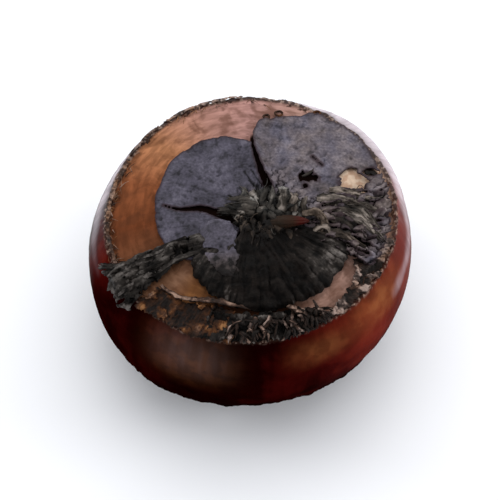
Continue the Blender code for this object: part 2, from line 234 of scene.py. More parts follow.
def grown(points):
    """Where uneven growth moves points. The base stays flat."""
    x, y, z = points.T
    share = smooth_share(z, 0.0, FLAT_BELOW)
    turn = np.arctan2(y, x)
    swell = OVAL * np.cos(2 * turn - 1.1) + THREE_LOBED * np.cos(3 * turn + 0.7)
    fullness = bump_at(np.degrees(turn), FULL_AZIMUTH, FULL_SPREAD)
    swell += FULL_SWELL * fullness * smooth_share(z, *FULL_RISE) * (1.0 - smooth_share(z, *FULL_FALL))
    lump = np.array([noise.noise(point) for point in (points / LUMP_SPACING).tolist()]) * LUMPS / BODY_RADIUS
    wide = 1.0 + share * (swell + lump)
    lean = share * (LEAN_RIGHT * x + LEAN_BACK * y)
    return np.stack([x * wide, y * wide, z + lean], axis=1)


def unmoved_place(azimuth, distance, lift):
    """Points that stand lift above the smooth skin, before the uneven growth."""
    radius, height = skin_at(distance)
    out, up = skin_normal(distance)
    x, y = cartesian(azimuth, radius + lift * out)
    return np.stack([x, y, height + lift * up], axis=-1)


def centring_shift():
    """How far the CAD source moved the model to centre it, from the corm's box."""
    sides = np.linspace(SHOULDER_DISTANCE, SKIN_LENGTH - 6, 60)
    azimuth, distance = np.meshgrid(np.arange(0, 360, 5.0), sides)
    ring = grown(unmoved_place(azimuth.ravel(), distance.ravel(), np.zeros(azimuth.size)))
    low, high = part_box("corm")
    middle = (np.array(low) + np.array(high)) / 2 / MM
    shift = middle - (ring.min(axis=0) + ring.max(axis=0)) / 2
    return np.array([shift[0], shift[1], 0.0])


SHIFT = centring_shift()


def crown_rise(distance):
    """The skin's height above the shoulder, 0 below it."""
    return np.maximum(skin_at(distance)[1] - SHOULDER_HEIGHT, 0.0)


def place_on_corm(azimuth, distance, lift):
    """Points that stand lift above the skin, bent by the uneven growth and centred as the model is."""
    azimuth, distance, lift = np.broadcast_arrays(azimuth, distance, lift)
    flat = unmoved_place(azimuth.ravel(), distance.ravel(), lift.ravel())
    return grown(flat) + SHIFT


def place(azimuth, distance, lift):
    """The same for what lies on the crown, which sits forward by a share of the crown's rise."""
    azimuth, distance, lift = np.broadcast_arrays(azimuth, distance, lift)
    x, y = cartesian(azimuth, distance)
    return place_on_corm(*polar(x, y - FORWARD_SHARE * crown_rise(distance)), lift)


def before_forward(azimuth, distance):
    """The azimuth and distance that place moves to these ones."""
    x, y = cartesian(azimuth, distance)
    back = y
    for _ in range(6):
        back = y + FORWARD_SHARE * crown_rise(np.hypot(x, back))
    return polar(x, back)


def place_xy(x, y, lift):
    """The same for x and y on the crown."""
    return place(*polar(x, y), lift)


def outline(points, azimuth):
    """A reach along the skin, read smoothly between (azimuth, share of the crown's reach) points."""
    azimuths, shares = np.array(points, float).T
    i = np.clip(np.searchsorted(azimuths, azimuth) - 1, 0, len(azimuths) - 2)
    turn = smooth_share(azimuth, azimuths[i], azimuths[i + 1])
    return mix(shares[i], shares[i + 1], turn) * SHOULDER_DISTANCE


# Meshes

SHARP_ANGLE = 60


def linked(name, data):
    """A new object with this data, in the scene."""
    made = bpy.data.objects.new(name, data)
    bpy.context.scene.collection.objects.link(made)
    return made


def add_piece(name, points, faces, finish, stands_for, attributes, thickness=0.0):
    """Makes a piece from points in millimetres, with float or vector attributes that its finish reads."""
    mesh = bpy.data.meshes.new(name)
    mesh.from_pydata((points * MM).tolist(), [], faces)
    for key, values in attributes.items():
        kind = "FLOAT_VECTOR" if values.ndim == 2 else "FLOAT"
        field = "vector" if values.ndim == 2 else "value"
        mesh.attributes.new(key, kind, "POINT").data.foreach_set(field, values.astype(np.float32).ravel())
    mesh.validate()
    mesh.materials.append(finish.material)
    mesh.shade_smooth()
    mesh.set_sharp_from_angle(angle=math.radians(SHARP_ANGLE))
    piece = linked(name, mesh)
    if thickness:
        thick = piece.modifiers.new("thick", "SOLIDIFY")
        thick.thickness = thickness * MM
        thick.offset = 0.0
    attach(piece, "root")
    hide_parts(*stands_for)
    return piece


def grid_faces(rows, columns, closed=False):
    """Quads of a grid whose points run along each row in turn. A closed grid joins each row's ends."""
    across = np.arange(columns if closed else columns - 1)
    row, column = np.meshgrid(np.arange(rows - 1), across, indexing="ij")
    after = (column + 1) % columns
    corners = ((row, column), (row, after), (row + 1, after), (row + 1, column))
    return np.stack([(down * columns + right).ravel() for down, right in corners], axis=1).tolist()


def clipped_grid(u, v, inside):
    """The part of a grid where inside is positive: its u and v, its quads, and inside's value at each point.

    Points just outside are pulled onto the edge, so that it runs smoothly between the grid's lines.
    """
    rows, columns = u.shape
    u, v, kept = u.copy(), v.copy(), inside > 0
    pull = np.zeros((3, rows, columns))
    for down, right in itertools.product((-1, 0, 1), repeat=2):
        if (down, right) == (0, 0):
            continue
        here = (slice(max(0, -down), rows - max(0, down)), slice(max(0, -right), columns - max(0, right)))
        there = (slice(max(0, down), rows + min(0, down)), slice(max(0, right), columns + min(0, right)))
        edge = ~kept[here] & kept[there]
        gap = np.where(edge, inside[there] - inside[here], 1.0)
        share = inside[there] / gap
        weight = np.where(edge, 1.0 if 0 in (down, right) else 0.3, 0.0)
        pull[0][here] += weight * (u[there] + share * (u[here] - u[there]))
        pull[1][here] += weight * (v[there] + share * (v[here] - v[there]))
        pull[2][here] += weight
    moved = pull[2] > 0
    u[moved] = pull[0][moved] / pull[2][moved]
    v[moved] = pull[1][moved] / pull[2][moved]
    quads = np.array(grid_faces(rows, columns))
    quads = quads[kept.ravel()[quads].any(axis=1)]
    used = np.unique(quads)
    new_index = np.zeros(rows * columns, int)
    new_index[used] = np.arange(len(used))
    depth = np.where(kept, inside, 0.0).ravel()[used]
    return u.ravel()[used], v.ravel()[used], new_index[quads].tolist(), depth


def smooth_route(stops, count):
    """Evenly counted points on a smooth curve through the stops."""
    stops = np.asarray(stops, float)
    padded = np.vstack([2 * stops[0] - stops[1], stops, 2 * stops[-1] - stops[-2]])
    along = np.linspace(0, len(stops) - 1 - 1e-9, count)
    i = along.astype(int)
    f = (along - i)[:, None]
    a, b, c, d = (padded[i + k] for k in range(4))
    return 0.5 * (2 * b + (c - a) * f + (2 * a - 5 * b + 4 * c - d) * f**2 + (3 * b - a - 3 * c + d) * f**3)


def tube(route, away_from, radius, turn):
    """Rings of points round a route, at a radius for each of its points and at each turn."""
    tangent = unit(np.gradient(route, axis=0))
    side = unit(np.cross(tangent, away_from))
    up = np.cross(side, tangent)
    ring = np.cos(turn)[None, :, None] * side[:, None] + np.sin(turn)[None, :, None] * up[:, None]
    return (route[:, None] + radius[..., None] * ring).reshape(-1, 3)


class Bundle:
    """The strips and fibres of one piece, gathered one by one."""

    def __init__(self, seed):
        self.draw = np.random.RandomState(seed)
        self.points, self.faces = [], []
        self.values = {"grain": [], "tint": [], "hue": [], "relief": [], "depth": []}
        self.count = 0

    def add(self, points, faces, grain, tint, hue, relief):
        """Adds points and faces, with one tint and one hue for all of them."""
        self.points.append(points)
        self.faces += (np.array(faces) + self.count).tolist()
        flat = np.ones(len(points))
        added = {"grain": grain, "tint": flat * tint, "hue": flat * hue, "relief": relief, "depth": flat}
        for key, value in added.items():
            self.values[key].append(value)
        self.count += len(points)

    def strip(self, stops, width, roll, crumple, jag, tint, hue, twist=0.0, arch=0.3, taper=0.5,
              folds=0.12, step=0.13):
        """A dry strip of leaf along (x, y, lift) stops, folded lengthwise, with a jagged far end."""
        length = np.linalg.norm(np.diff(np.asarray(stops, float), axis=0), axis=1).sum()
        rows = max(6, int(length / step))
        columns = max(4, int(width / step) + 1)
        across = np.linspace(-1, 1, columns)
        ends = 1.0 - jag * self.draw.rand(columns) ** 1.5
        share = np.linspace(0, 1, rows)[:, None] * ends[None, :]
        route = smooth_route(stops, ROUTE_POINTS)
        centre = place_xy(*route.T)
        above = place_xy(route[:, 0], route[:, 1], route[:, 2] + 0.2) - centre
        normal = unit(above)
        side = unit(np.cross(unit(np.gradient(centre, axis=0)), normal))
        rolled = roll + twist * np.linspace(0, 1, ROUTE_POINTS)[:, None]
        lateral = np.cos(rolled) * side + np.sin(rolled) * normal
        facing = np.cos(rolled) * normal - np.sin(rolled) * side
        at = (share * (ROUTE_POINTS - 1)).astype(int)
        half = width / 2 * mix(1.0, taper, share) * (0.75 + 0.25 * np.sin(np.pi * np.minimum(share * 3, 0.5)))
        seed = int(self.draw.randint(1000))
        torn = 1.0 + 0.65 * flat_noise(share * length / 0.8, np.sign(across) * 3.0, seed + 3, 3)
        offset = np.broadcast_to(across, share.shape) * half * torn
        bow = arch * half * (1 - across**2)
        fold = flat_noise(offset / 0.75, share * length / 2.6, seed, 2)
        points = centre[at] + lateral[at] * offset[..., None] + facing[at] * (bow + folds * fold)[..., None]
        points = points.reshape(-1, 3)
        push = fractal(points, 1.6, 2, seed)[:, None] * facing[at].reshape(-1, 3)
        push += 0.6 * fractal(points, 2.2, 2, seed + 5)[:, None] * lateral[at].reshape(-1, 3)
        points = points + push * crumple
        grain = rows_of(offset.ravel(), (share * length).ravel(), seed * 0.37)
        # Painted shade: the relief darkens the folds and the strip's long edges.
        edge = smooth_share(1 - np.abs(across), 0.0, 0.35)[None, :]
        relief = np.clip((0.62 + 0.6 * fold) * mix(0.35, 1.0, edge), 0, 1).ravel()
        self.add(points, grid_faces(rows, columns), grain, tint, hue, relief)

    def fibre(self, stops, radius, tint, hue, sides=5, steps=9, tip=0.25):
        """A thin dry fibre along (x, y, lift) stops."""
        turn = np.linspace(0, 2 * np.pi, sides, endpoint=False)
        thick = radius * mix(1.0, tip, np.linspace(0, 1, steps) ** 1.5)[:, None]
        points = tube(place_xy(*smooth_route(stops, steps).T), (0.31, 0.22, 0.93), thick, turn)
        faces = grid_faces(steps, sides, closed=True)
        along = np.repeat(np.linspace(0, 1, steps), sides)
        grain = rows_of(np.tile(turn, steps) * radius, along * 3, tint * 9)
        self.add(points, faces, grain, tint, hue, np.full(len(points), 0.8))

    def piece(self, name, finish, stands_for, thickness=0.0):
        """Makes one piece of all that was added."""
        attributes = {key: np.concatenate(values) for key, values in self.values.items()}
        points = np.concatenate(self.points)
        return add_piece(name, points, self.faces, finish, stands_for, attributes, thickness)


# Finishes


class Finish:
    """A Principled material for one slot, with short ways to add the nodes that feed it."""

    def __init__(self, slot, specular):
        self.slot = slot
        self.material = bpy.data.materials.new(slot)
        self.material.use_nodes = True
        self.tree = self.material.node_tree
        self.shader = self.tree.nodes["Principled BSDF"]
        self.shader.inputs["Specular IOR Level"].default_value = specular
        self.place = self.add("ShaderNodeTexCoord").outputs["Object"]

    def add(self, kind, **values):
        """A new node of this kind."""
        node = self.tree.nodes.new(kind)
        for key, value in values.items():
            setattr(node, key, value)
        return node

    def feed(self, socket, value):
        """Links another node's socket, or sets a number or colour."""
        if isinstance(value, bpy.types.NodeSocket):
            self.tree.links.new(value, socket)
        elif isinstance(value, tuple):
            socket.default_value = (*value, 1.0)
        else:
            socket.default_value = value

    def attribute(self, name):
        node = self.add("ShaderNodeAttribute", attribute_name=name)
        return node.outputs["Vector"] if name == "grain" else node.outputs["Fac"]

    def math(self, operation, a, b=0.0):
        node = self.add("ShaderNodeMath", operation=operation)
        self.feed(node.inputs[0], a)
        self.feed(node.inputs[1], b)
        return node.outputs[0]

    def plus(self, value, *parts):
        """A value with each part's socket added by its share."""
        for socket, share in parts:
            value = self.math("ADD", value, self.math("MULTIPLY", socket, share))
        return value

    def scaled(self, vector, factors):
        node = self.add("ShaderNodeVectorMath", operation="MULTIPLY")
        self.feed(node.inputs[0], vector)
        node.inputs[1].default_value = factors
        return node.outputs[0]

    def noise(self, spacing, detail=4.0, low=0.35, high=0.65, grain=None, distortion=0.0):
        """Noise from 0 to 1, spacing millimetres apart, or stretched along the grain by its factors."""
        node = self.add("ShaderNodeTexNoise")
        if grain:
            self.feed(node.inputs["Vector"], self.scaled(self.attribute("grain"), grain))
            node.inputs["Scale"].default_value = 1.0 / spacing
        else:
            self.feed(node.inputs["Vector"], self.place)
            node.inputs["Scale"].default_value = 1.0 / (spacing * MM)
        node.inputs["Detail"].default_value = detail
        node.inputs["Distortion"].default_value = distortion
        return self.stretch(node.outputs["Fac"], low, high)

    def stretch(self, value, low, high, to_low=0.0, to_high=1.0):
        """to_low where the value is below low, to_high above high, with a smooth turn between."""
        node = self.add("ShaderNodeMapRange", interpolation_type="SMOOTHSTEP")
        self.feed(node.inputs["Value"], value)
        numbers = {"From Min": low, "From Max": high, "To Min": to_low, "To Max": to_high}
        for key, number in numbers.items():
            node.inputs[key].default_value = number
        return node.outputs["Result"]

    def mix(self, factor, a, b):
        node = self.add("ShaderNodeMix", data_type="RGBA")
        self.feed(node.inputs["Factor"], factor)
        self.feed(node.inputs[6], a)
        self.feed(node.inputs[7], b)
        return node.outputs[2]

    def ramp(self, factor, stops):
        node = self.add("ShaderNodeValToRGB")
        self.feed(node.inputs["Fac"], factor)
        elements = node.color_ramp.elements
        while len(elements) < len(stops):
            elements.new(0.5)
        for element, (position, colour) in zip(elements, stops):
            element.position = position
            element.color = (*colour, 1.0)
        return node.outputs["Color"]

    def bump(self, height, depth, under=None):
        """Bump of this depth in millimetres."""
        node = self.add("ShaderNodeBump")
        node.inputs["Strength"].default_value = 1.0
        node.inputs["Distance"].default_value = depth * MM
        self.feed(node.inputs["Height"], height)
        if under is not None:
            self.feed(node.inputs["Normal"], under)
        return node.outputs["Normal"]

    def finished(self, colour, roughness, normal):
        self.feed(self.shader.inputs["Base Color"], colour)
        self.feed(self.shader.inputs["Roughness"], roughness)
        self.feed(self.shader.inputs["Normal"], normal)
        return self


# Colours of the exposed band inside the shoulder ring, going round counterclockwise from the right
BAND_COLOURS = [
    (0.0, (0.20, 0.11, 0.080)),
    (0.07, (0.42, 0.29, 0.22)),
    # The pinkish stretch at the back is partly the band's own tone and partly a painted highlight.
    (0.20, (0.36, 0.21, 0.175)),
    (0.25, (0.40, 0.22, 0.195)),
    (0.31, (0.38, 0.20, 0.16)),
    (0.38, (0.42, 0.185, 0.090)),
    (0.45, (0.24, 0.078, 0.032)),
    (0.52, (0.13, 0.038, 0.015)),
    (0.58, (0.15, 0.060, 0.030)),
    (0.61, (0.18, 0.085, 0.045)),
    (0.635, (0.215, 0.112, 0.068)),
    (0.66, (0.20, 0.085, 0.032)),
    # Painted shade: near black where the band lies under the inner lobe and the scraps at the front.
    (0.71, (0.030, 0.012, 0.006)),
    (0.80, (0.022, 0.010, 0.006)),
    (0.83, (0.30, 0.175, 0.135)),
    (0.93, (0.34, 0.205, 0.165)),
    (1.0, (0.20, 0.11, 0.080)),
]


def corm_finish():
    """Glossy mahogany skin, the matte tan band inside the ring, painted shade on the crown under the scales
    and low on the skin, and a pale painted reflection below the shoulder.
    """
    f = Finish("corm_skin", specular=0.0)
    band = f.attribute("band")
    ring = f.attribute("ring")
    brighter_red = f.attribute("brighter_red")
    line = f.attribute("node_line")
    low = f.attribute("low")
    orange_and_reflection = f.attribute("orange_and_reflection")

    cloud = f.noise(8.0, detail=3.0, low=0.36, high=0.66, distortion=0.5)
    mottle = f.noise(2.2, detail=5.0, low=0.38, high=0.68)
    streak = f.noise(1.0, detail=4.0, low=0.35, high=0.7, grain=(0.9, 0.10, 1.0))
    redness = f.plus(f.math("MULTIPLY", cloud, 0.20), (mottle, 0.06), (streak, 0.05), (brighter_red, 0.56))
    skin = f.ramp(redness, [
        (0.0, (0.0030, 0.0001, 0.0001)),
        (0.20, (0.0085, 0.0002, 0.0002)),
        (0.42, (0.036, 0.0018, 0.0014)),
        (0.70, (0.120, 0.012, 0.006)),
        (1.0, (0.21, 0.040, 0.018)),
    ])
    # Orange patches: partly the skin's own tone and partly painted reflection of the floor.
    patchy = f.math("MULTIPLY", orange_and_reflection, f.stretch(mottle, 0.0, 1.0, 0.55, 1.0))
    skin = f.mix(patchy, skin, (0.26, 0.090, 0.030))
    # Painted shade: the skin is darkened below the upper node line and over the base.
    skin_shaded_low = f.mix(f.math("MULTIPLY", low, f.noise(3.0, low=0.3, high=0.6)), skin, (0.020, 0.008, 0.007))
    dark_line = f.mix(line, skin_shaded_low, (0.004, 0.002, 0.0017))
    # Painted reflection: a pale lavender band below the shoulder stands in for the bright surround seen in
    # the glossy skin.
    painted_sheen = f.math("MULTIPLY", f.attribute("painted_sheen"), f.stretch(streak, 0.0, 1.0, 0.65, 1.0))
    painted_sheen = f.math("MULTIPLY", painted_sheen, f.stretch(cloud, 0.0, 1.0, 0.75, 1.0))
    skin = f.mix(painted_sheen, dark_line, (0.66, 0.58, 0.63))

    around = f.ramp(f.attribute("around"), BAND_COLOURS)
    hoops = f.noise(1.0, detail=5.0, low=0.32, high=0.68, grain=(0.35, 1.5, 1.0), distortion=0.4)
    blotch = f.noise(2.0, detail=6.0, low=0.42, high=0.68, distortion=0.8)
    tan = f.mix(f.math("MULTIPLY", hoops, 0.42), around, (0.050, 0.017, 0.007))
    tan = f.mix(f.math("MULTIPLY", blotch, 0.55), tan, (0.070, 0.025, 0.012))
    outer = f.attribute("outer_band")
    spots = f.noise(0.9, detail=4.0, low=0.53, high=0.62)
    tan = f.mix(f.math("MULTIPLY", outer, spots), tan, (0.022, 0.010, 0.007))
    flesh = f.mix(f.noise(0.9, low=0.45, high=0.6), (0.52, 0.39, 0.29), (0.40, 0.26, 0.18))
    tan = f.mix(f.attribute("flesh"), tan, flesh)
    # Painted shade: the crown under the scales is near black, seen through their gaps and cracks.
    tan = f.mix(f.attribute("under_scale_shade"), tan, (0.006, 0.0028, 0.0022))

    fluff = f.noise(0.5, detail=4.0, low=0.48, high=0.64)
    frayed = f.mix(fluff, (0.030, 0.015, 0.011), (0.27, 0.19, 0.15))
    colour = f.mix(band, skin, tan)
    colour = f.mix(ring, colour, frayed)

    gloss = f.stretch(f.noise(4.0, detail=3.0, low=0.3, high=0.7), 0.0, 1.0, 0.15, 0.25)
    roughness = f.plus(gloss, (band, 0.42), (ring, 0.3), (low, 0.12))

    wrinkle = f.bump(streak, 0.008)
    pores = f.bump(f.noise(0.4, detail=4.0, low=0.3, high=0.7), 0.015, wrinkle)
    hollows = f.bump(f.math("MULTIPLY", hoops, band), 0.05, pores)
    f.feed(f.shader.inputs["Coat Weight"], f.attribute("gloss"))
    f.shader.inputs["Coat Roughness"].default_value = 0.2
    return f.finished(colour, roughness, hollows)


def paper_finish(name, shades, brown_shades, weights, specular, base=0.0, grain=(3.0, 0.35),
                 roughness=(0.6, 0.85), depth=0.06, rim=None):
    """Dry papery scale: mottled, grainy and fibrous by its weights, with painted shade that darkens it in its
    folds and cracks by its relief attribute.

    shades are its dark, middle and pale colours, and brown_shades the same where its hue attribute is 1.
    rim is the colour of its edge.
    """
    f = Finish(name, specular=specular)
    mottle = f.noise(1.3, detail=6.0, low=0.28, high=0.74, distortion=0.3)
    grains = f.noise(0.32, detail=3.0, low=0.26, high=0.76)
    fibre = f.noise(1.0, detail=5.0, low=0.34, high=0.68, grain=(*grain, 1.0))
    value = f.plus(f.math("MULTIPLY", mottle, weights[0]), (grains, weights[1]), (fibre, weights[2]))
    value = f.math("ADD", value, base)
    value = f.math("MULTIPLY", value, f.stretch(f.attribute("tint"), 0.0, 1.0, 0.30, 1.4))
    # Painted shade: the relief attribute darkens folds, cracks and hollows and lightens crests.
    value = f.math("MULTIPLY", value, f.stretch(f.attribute("relief"), 0.05, 0.75, 0.15, 1.1))
    positions = (0.10, 0.45, 0.88)
    colour = f.ramp(value, list(zip(positions, shades)))
    brown = f.ramp(value, list(zip(positions, brown_shades)))
    colour = f.mix(f.attribute("hue"), colour, brown)
    if rim:
        edge = f.stretch(f.attribute("depth"), 0.0, 0.35, 1.0, 0.0)
        colour = f.mix(f.math("MULTIPLY", edge, 0.85), colour, rim)
    rough = f.stretch(mottle, 0.0, 1.0, roughness[0], roughness[1])
    normal = f.bump(fibre, depth * min(1.0, weights[2] * 3))
    normal = f.bump(grains, depth * 0.6, normal)
    return f.finished(colour, rough, normal)


# Corm

COLUMNS = 540
COLUMN_AZIMUTHS = np.arange(COLUMNS) * 360 / COLUMNS
# Heights of the frayed edges at the shoulder ring and the node lines
RING_LIP = 0.36
NODE_LIPS = (0.22, 0.20)
# The base from its flat ring inwards, as (radius, height): the dish, and the stolon's broken end in it
BASE = (
    (8.2, 0.0), (7.0, 0.02), (6.0, 0.02), (5.1, 0.0), (4.8, 0.25), (4.3, 0.8), (3.9, 1.0), (3.0, 1.05),
    (2.1, 1.0), (1.8, 0.95), (1.7, 0.7), (1.6, 0.45), (1.4, 0.4), (0.9, 0.55), (0.4, 0.65), (0.02, 0.62),
)
DISH_EDGE_RADIUS = 5.4
# The distance along the base, for the finish, from the end of the side to the centre
BASE_REACH = 8.3
# Soft patches of the skin: azimuth and its spread, distance below the shoulder and its reach, and strength
# The orange patches are partly the skin's own orange and partly painted reflection of the floor on the front.
ORANGE_AND_REFLECTION_PATCHES = ((-33, 24, 2.8, 4.2, 0.62), (-62, 20, 3.4, 3.2, 0.42), (-113, 26, 3.8, 6.5, 0.26))
RED_PATCH = (196, 24, 3.0, 7.0, 0.42)
# A faint patch of painted reflection on the front left
DIM_PAINTED_SHEEN_PATCH = (-112, 22, 3.4, 5.0, 0.06)
# The pale band below the shoulder, a painted reflection of the bright surround in the glossy skin, by
# azimuth: its middle and reach below it, and its strength
PAINTED_SHEEN_AZIMUTHS = (-28, -22, 0, 12, 25, 40, 62, 78, 90, 140, 152, 162, 176, 186, 200)
PAINTED_SHEEN = (
    (4.4, 4.4, 4.2, 2.9, 2.1, 1.8, 1.4, 0.9, 0.6, 0.6, 1.4, 2.0, 2.6, 3.2, 3.4),
    (1.1, 1.3, 1.7, 3.2, 2.6, 2.1, 1.5, 0.9, 0.6, 0.6, 1.4, 2.0, 2.2, 1.2, 0.6),
    (0.0, 0.30, 0.42, 0.65, 0.95, 1.0, 1.0, 0.7, 0.2, 0.2, 0.8, 0.8, 0.6, 0.12, 0.0),
)


def row_distances():
    """Distances of the corm's rings of points, closest together where its relief is finest."""
    rows = list(np.linspace(0.0, 8.0, 12)) + list(np.arange(8.4, SHOULDER_DISTANCE - 1.0, 0.28))
    rows += list(np.arange(SHOULDER_DISTANCE - 1.0, SHOULDER_DISTANCE + 1.3, 0.12))
    rows += list(np.arange(SHOULDER_DISTANCE + 1.4, SKIN_LENGTH, 0.36))
    for line in NODE_DISTANCES:
        rows = [row for row in rows if not line - 0.9 < row < line + 1.3]
        rows += list(np.arange(line - 0.8, line + 1.25, 0.13))
    return np.array(sorted(row for row in rows if row < SKIN_LENGTH) + [SKIN_LENGTH])


def frayed_lip(azimuth, distance, line, height, seed):
    """An uneven edge below a line, steep on its upper side, and the distance past the line."""
    wobble = 0.22 * flat_noise(azimuth / 24, 0.0, seed) + 0.07 * flat_noise(azimuth / 1.6, 0.0, seed + 1)
    past = distance - line - wobble
    fade = np.where(past > 0, 0.9, 0.14)
    uneven = 0.75 + 0.7 * flat_noise(azimuth / 5, 0.0, seed + 2)
    uneven += 0.4 * flat_noise(azimuth / 1.1, 0.0, seed + 3)
    return height * np.clip(uneven, 0.1, 1.6) * np.exp(-np.abs(past) / fade), past


def under_scale_shade_share(azimuth, distance):
    """How far places on the crown lie under the scales, from 0 in the open to 1; the skin's finish paints
    them dark there as shade.
    """
    shares = []
    for edge, start, low, high in (
        (LEFT_DISC_EDGE, 20, 62, 238), (RIGHT_LOBE_EDGE, -100, -24, 90), (INNER_LOBE_EDGE, 90, 218, 345),
    ):
        at = turned(azimuth, start)
        shares.append(np.where((at > low) & (at < high), outline(edge, at) - distance, -1.0))
    return smooth_share(np.maximum.reduce(shares), 0.05, 0.7)


def corm_relief(azimuth, distance):
    """The height of the corm's relief, the distance past the shoulder ring and the strength of node lines."""
    smooth = unmoved_place(azimuth.ravel(), distance.ravel(), np.zeros(azimuth.size))
    relief, past_ring = frayed_lip(azimuth, distance, SHOULDER_DISTANCE, RING_LIP, 20)
    node_line = np.zeros(azimuth.shape)
    for i, line in enumerate(NODE_DISTANCES):
        lip, past = frayed_lip(azimuth, distance, line, NODE_LIPS[i], 30 + 5 * i)
        relief += lip
        node_line += bump_at(past, -0.08, 0.45) * (0.5 + 0.5 * flat_noise(azimuth / 6, 0.0, 43 + i))
    on_side = smooth_share(past_ring, 0.0, 2.0)
    inside_ring = 1.0 - smooth_share(past_ring, -0.6, 0.0)
    uneven = fractal(smooth, 3.2, 3, 3).reshape(azimuth.shape)
    fine = fractal(smooth, 0.8, 3, 4).reshape(azimuth.shape)
    wrinkles = flat_noise(azimuth / 2.6, distance / 9.0, 5, octaves=3)
    relief += on_side * (0.07 * uneven + 0.008 * fine + 0.02 * wrinkles)
    fibres = flat_noise(azimuth / 1.3, distance / 3.0, 6, octaves=3)
    relief += inside_ring * (0.06 * uneven + 0.05 * fibres + 0.04 * fine - 0.05)
    relief *= smooth_share(SKIN_LENGTH - distance, 0.0, 1.5)
    return relief, past_ring, np.clip(node_line, 0, 1)


def base_points():
    """The base's rings of points, rough in the dish, and the radius of each point."""
    radius, height = (np.repeat(row, COLUMNS) for row in np.array(BASE).T)
    x, y = cartesian(np.tile(COLUMN_AZIMUTHS, len(BASE)), radius)
    points = np.stack([x, y, height], axis=1)
    rough = np.abs(fractal(points, 0.7, 3, 8)) * 0.35 * smooth_share(DISH_EDGE_RADIUS - radius, 0.0, 1.2)
    points[:, 2] += rough
    return points, radius


def patch(azimuths, distances, middle, spread, below, reach, strength):
    """A soft patch of the skin: strength at its middle, fading to 0 at its spread and its reach."""
    across = turned(azimuths - middle, -180)
    return strength * bump_at(across, 0, spread) * bump_at(distances, SHOULDER_DISTANCE + below, reach)


def brighter_redness(azimuths, distances):
    """How bright and red the skin is, from 0 to 1: most at the right, least low down."""
    upper = 1.0 - smooth_share(distances, SHOULDER_DISTANCE + 7, SHOULDER_DISTANCE + 17)
    to_right = np.maximum(np.cos(np.radians(azimuths + 12)), 0.0) ** 1.6
    to_back = np.maximum(np.cos(np.radians(azimuths - 120)), 0.0)
    brighter_red = (to_right + 0.5 * to_back) * (0.25 + 0.75 * upper)
    return brighter_red + patch(azimuths, distances, *RED_PATCH)


def painted_sheen_share(azimuths, distances):
    """How strong the painted reflection below the shoulder is, from 0 to 1."""
    from_front = turned(azimuths, -100)
    middle, reach, strength = (np.interp(from_front, PAINTED_SHEEN_AZIMUTHS, row) for row in PAINTED_SHEEN)
    from_middle = np.abs(distances - SHOULDER_DISTANCE - middle)
    reach = reach * (1 + 0.35 * flat_noise(azimuths / 9, distances / 5, 47, 3))
    painted_sheen = strength * (1 - smooth_share(from_middle, 0.15 * reach, 1.1 * reach))
    return painted_sheen + patch(azimuths, distances, *DIM_PAINTED_SHEEN_PATCH)


def corm(finish):
    """The tuber: crown, frayed shoulder ring, wrinkled side with node lines, base, dish and stolon end."""
    rows = row_distances()
    distance, azimuth = np.meshgrid(rows, COLUMN_AZIMUTHS, indexing="ij")
    relief, past_ring, node_line = corm_relief(azimuth, distance)
    base, base_radius = base_points()
    points = np.concatenate([place_on_corm(azimuth, distance, relief), base + SHIFT])
    faces = grid_faces(len(rows) + len(BASE), COLUMNS, closed=True)

    def with_base(above, on_base=0.0):
        return np.concatenate([above.ravel(), np.full(len(base), on_base)])

    azimuths = np.concatenate([azimuth.ravel(), np.tile(COLUMN_AZIMUTHS, len(BASE))])
    distances = np.concatenate([distance.ravel(), SKIN_LENGTH + BASE_REACH - base_radius])
    crown_azimuth, crown_distance = before_forward(azimuths, distances)
    flesh = 1 - smooth_share(from_hole(*cartesian(crown_azimuth, crown_distance), HOLE), 1.1, 1.7)
    band = with_base(1.0 - smooth_share(past_ring, -0.35, -0.1))
    from_front = turned(azimuths, -100)
    gloss = 0.45 * smooth_share(from_front, -30, 30) * (1 - smooth_share(from_front, 165, 200))
    gloss += 0.04 * bump_at(turned(azimuths, -180), -20, 60)
    attributes = {
        "band": band,
        "ring": with_base(bump_at(past_ring, -0.05, 0.55) * 0.9),
        "node_line": with_base(node_line),
        # Where the lower skin is darkened as painted shade.
        "low": with_base(smooth_share(distance - NODE_DISTANCES[0], 0.0, 0.4), 1.0),
        "around": azimuths / 360,
        "brighter_red": brighter_redness(azimuths, distances),
        "grain": rows_of(np.radians(azimuths) * 17.0, distances),
        "flesh": flesh,
        # Where the crown under the scales is painted dark as shade.
        "under_scale_shade": under_scale_shade_share(crown_azimuth, crown_distance) * (1 - flesh),
        # Orange patches, partly painted reflection of the floor.
        "orange_and_reflection": sum(patch(azimuths, distances, *row) for row in ORANGE_AND_REFLECTION_PATCHES),
        "outer_band": smooth_share(distances, SHOULDER_DISTANCE - 1.3, SHOULDER_DISTANCE - 0.3),
        # The pale band below the shoulder is a painted reflection.
        "painted_sheen": painted_sheen_share(azimuths, distances),
        "gloss": gloss * (1 - band),
    }
    return add_piece("corm_body", points, faces, finish, ["corm"], attributes)


# Scales

# Edges of the scales, as (azimuth, share of the crown's reach) points
LEFT_DISC_EDGE = (
    (60, 0.30), (84, 0.58), (95, 0.63), (108, 0.68), (125, 0.70), (140, 0.71), (160, 0.67), (180, 0.64),
    (198, 0.61), (210, 0.56), (224, 0.50), (240, 0.36),
)
RIGHT_LOBE_EDGE = (
    (-32, 0.91), (-10, 0.95), (10, 0.965), (45, 0.975), (58, 0.975), (63, 0.95), (67, 0.89), (72, 0.85),
    (80, 0.805), (85, 0.77), (88, 0.70), (94, 0.60),
)
INNER_LOBE_EDGE = (
    (214, 0.38), (224, 0.53), (236, 0.585), (248, 0.655), (262, 0.715), (285, 0.765), (305, 0.765),
    (322, 0.755), (336, 0.725), (346, 0.64),
)
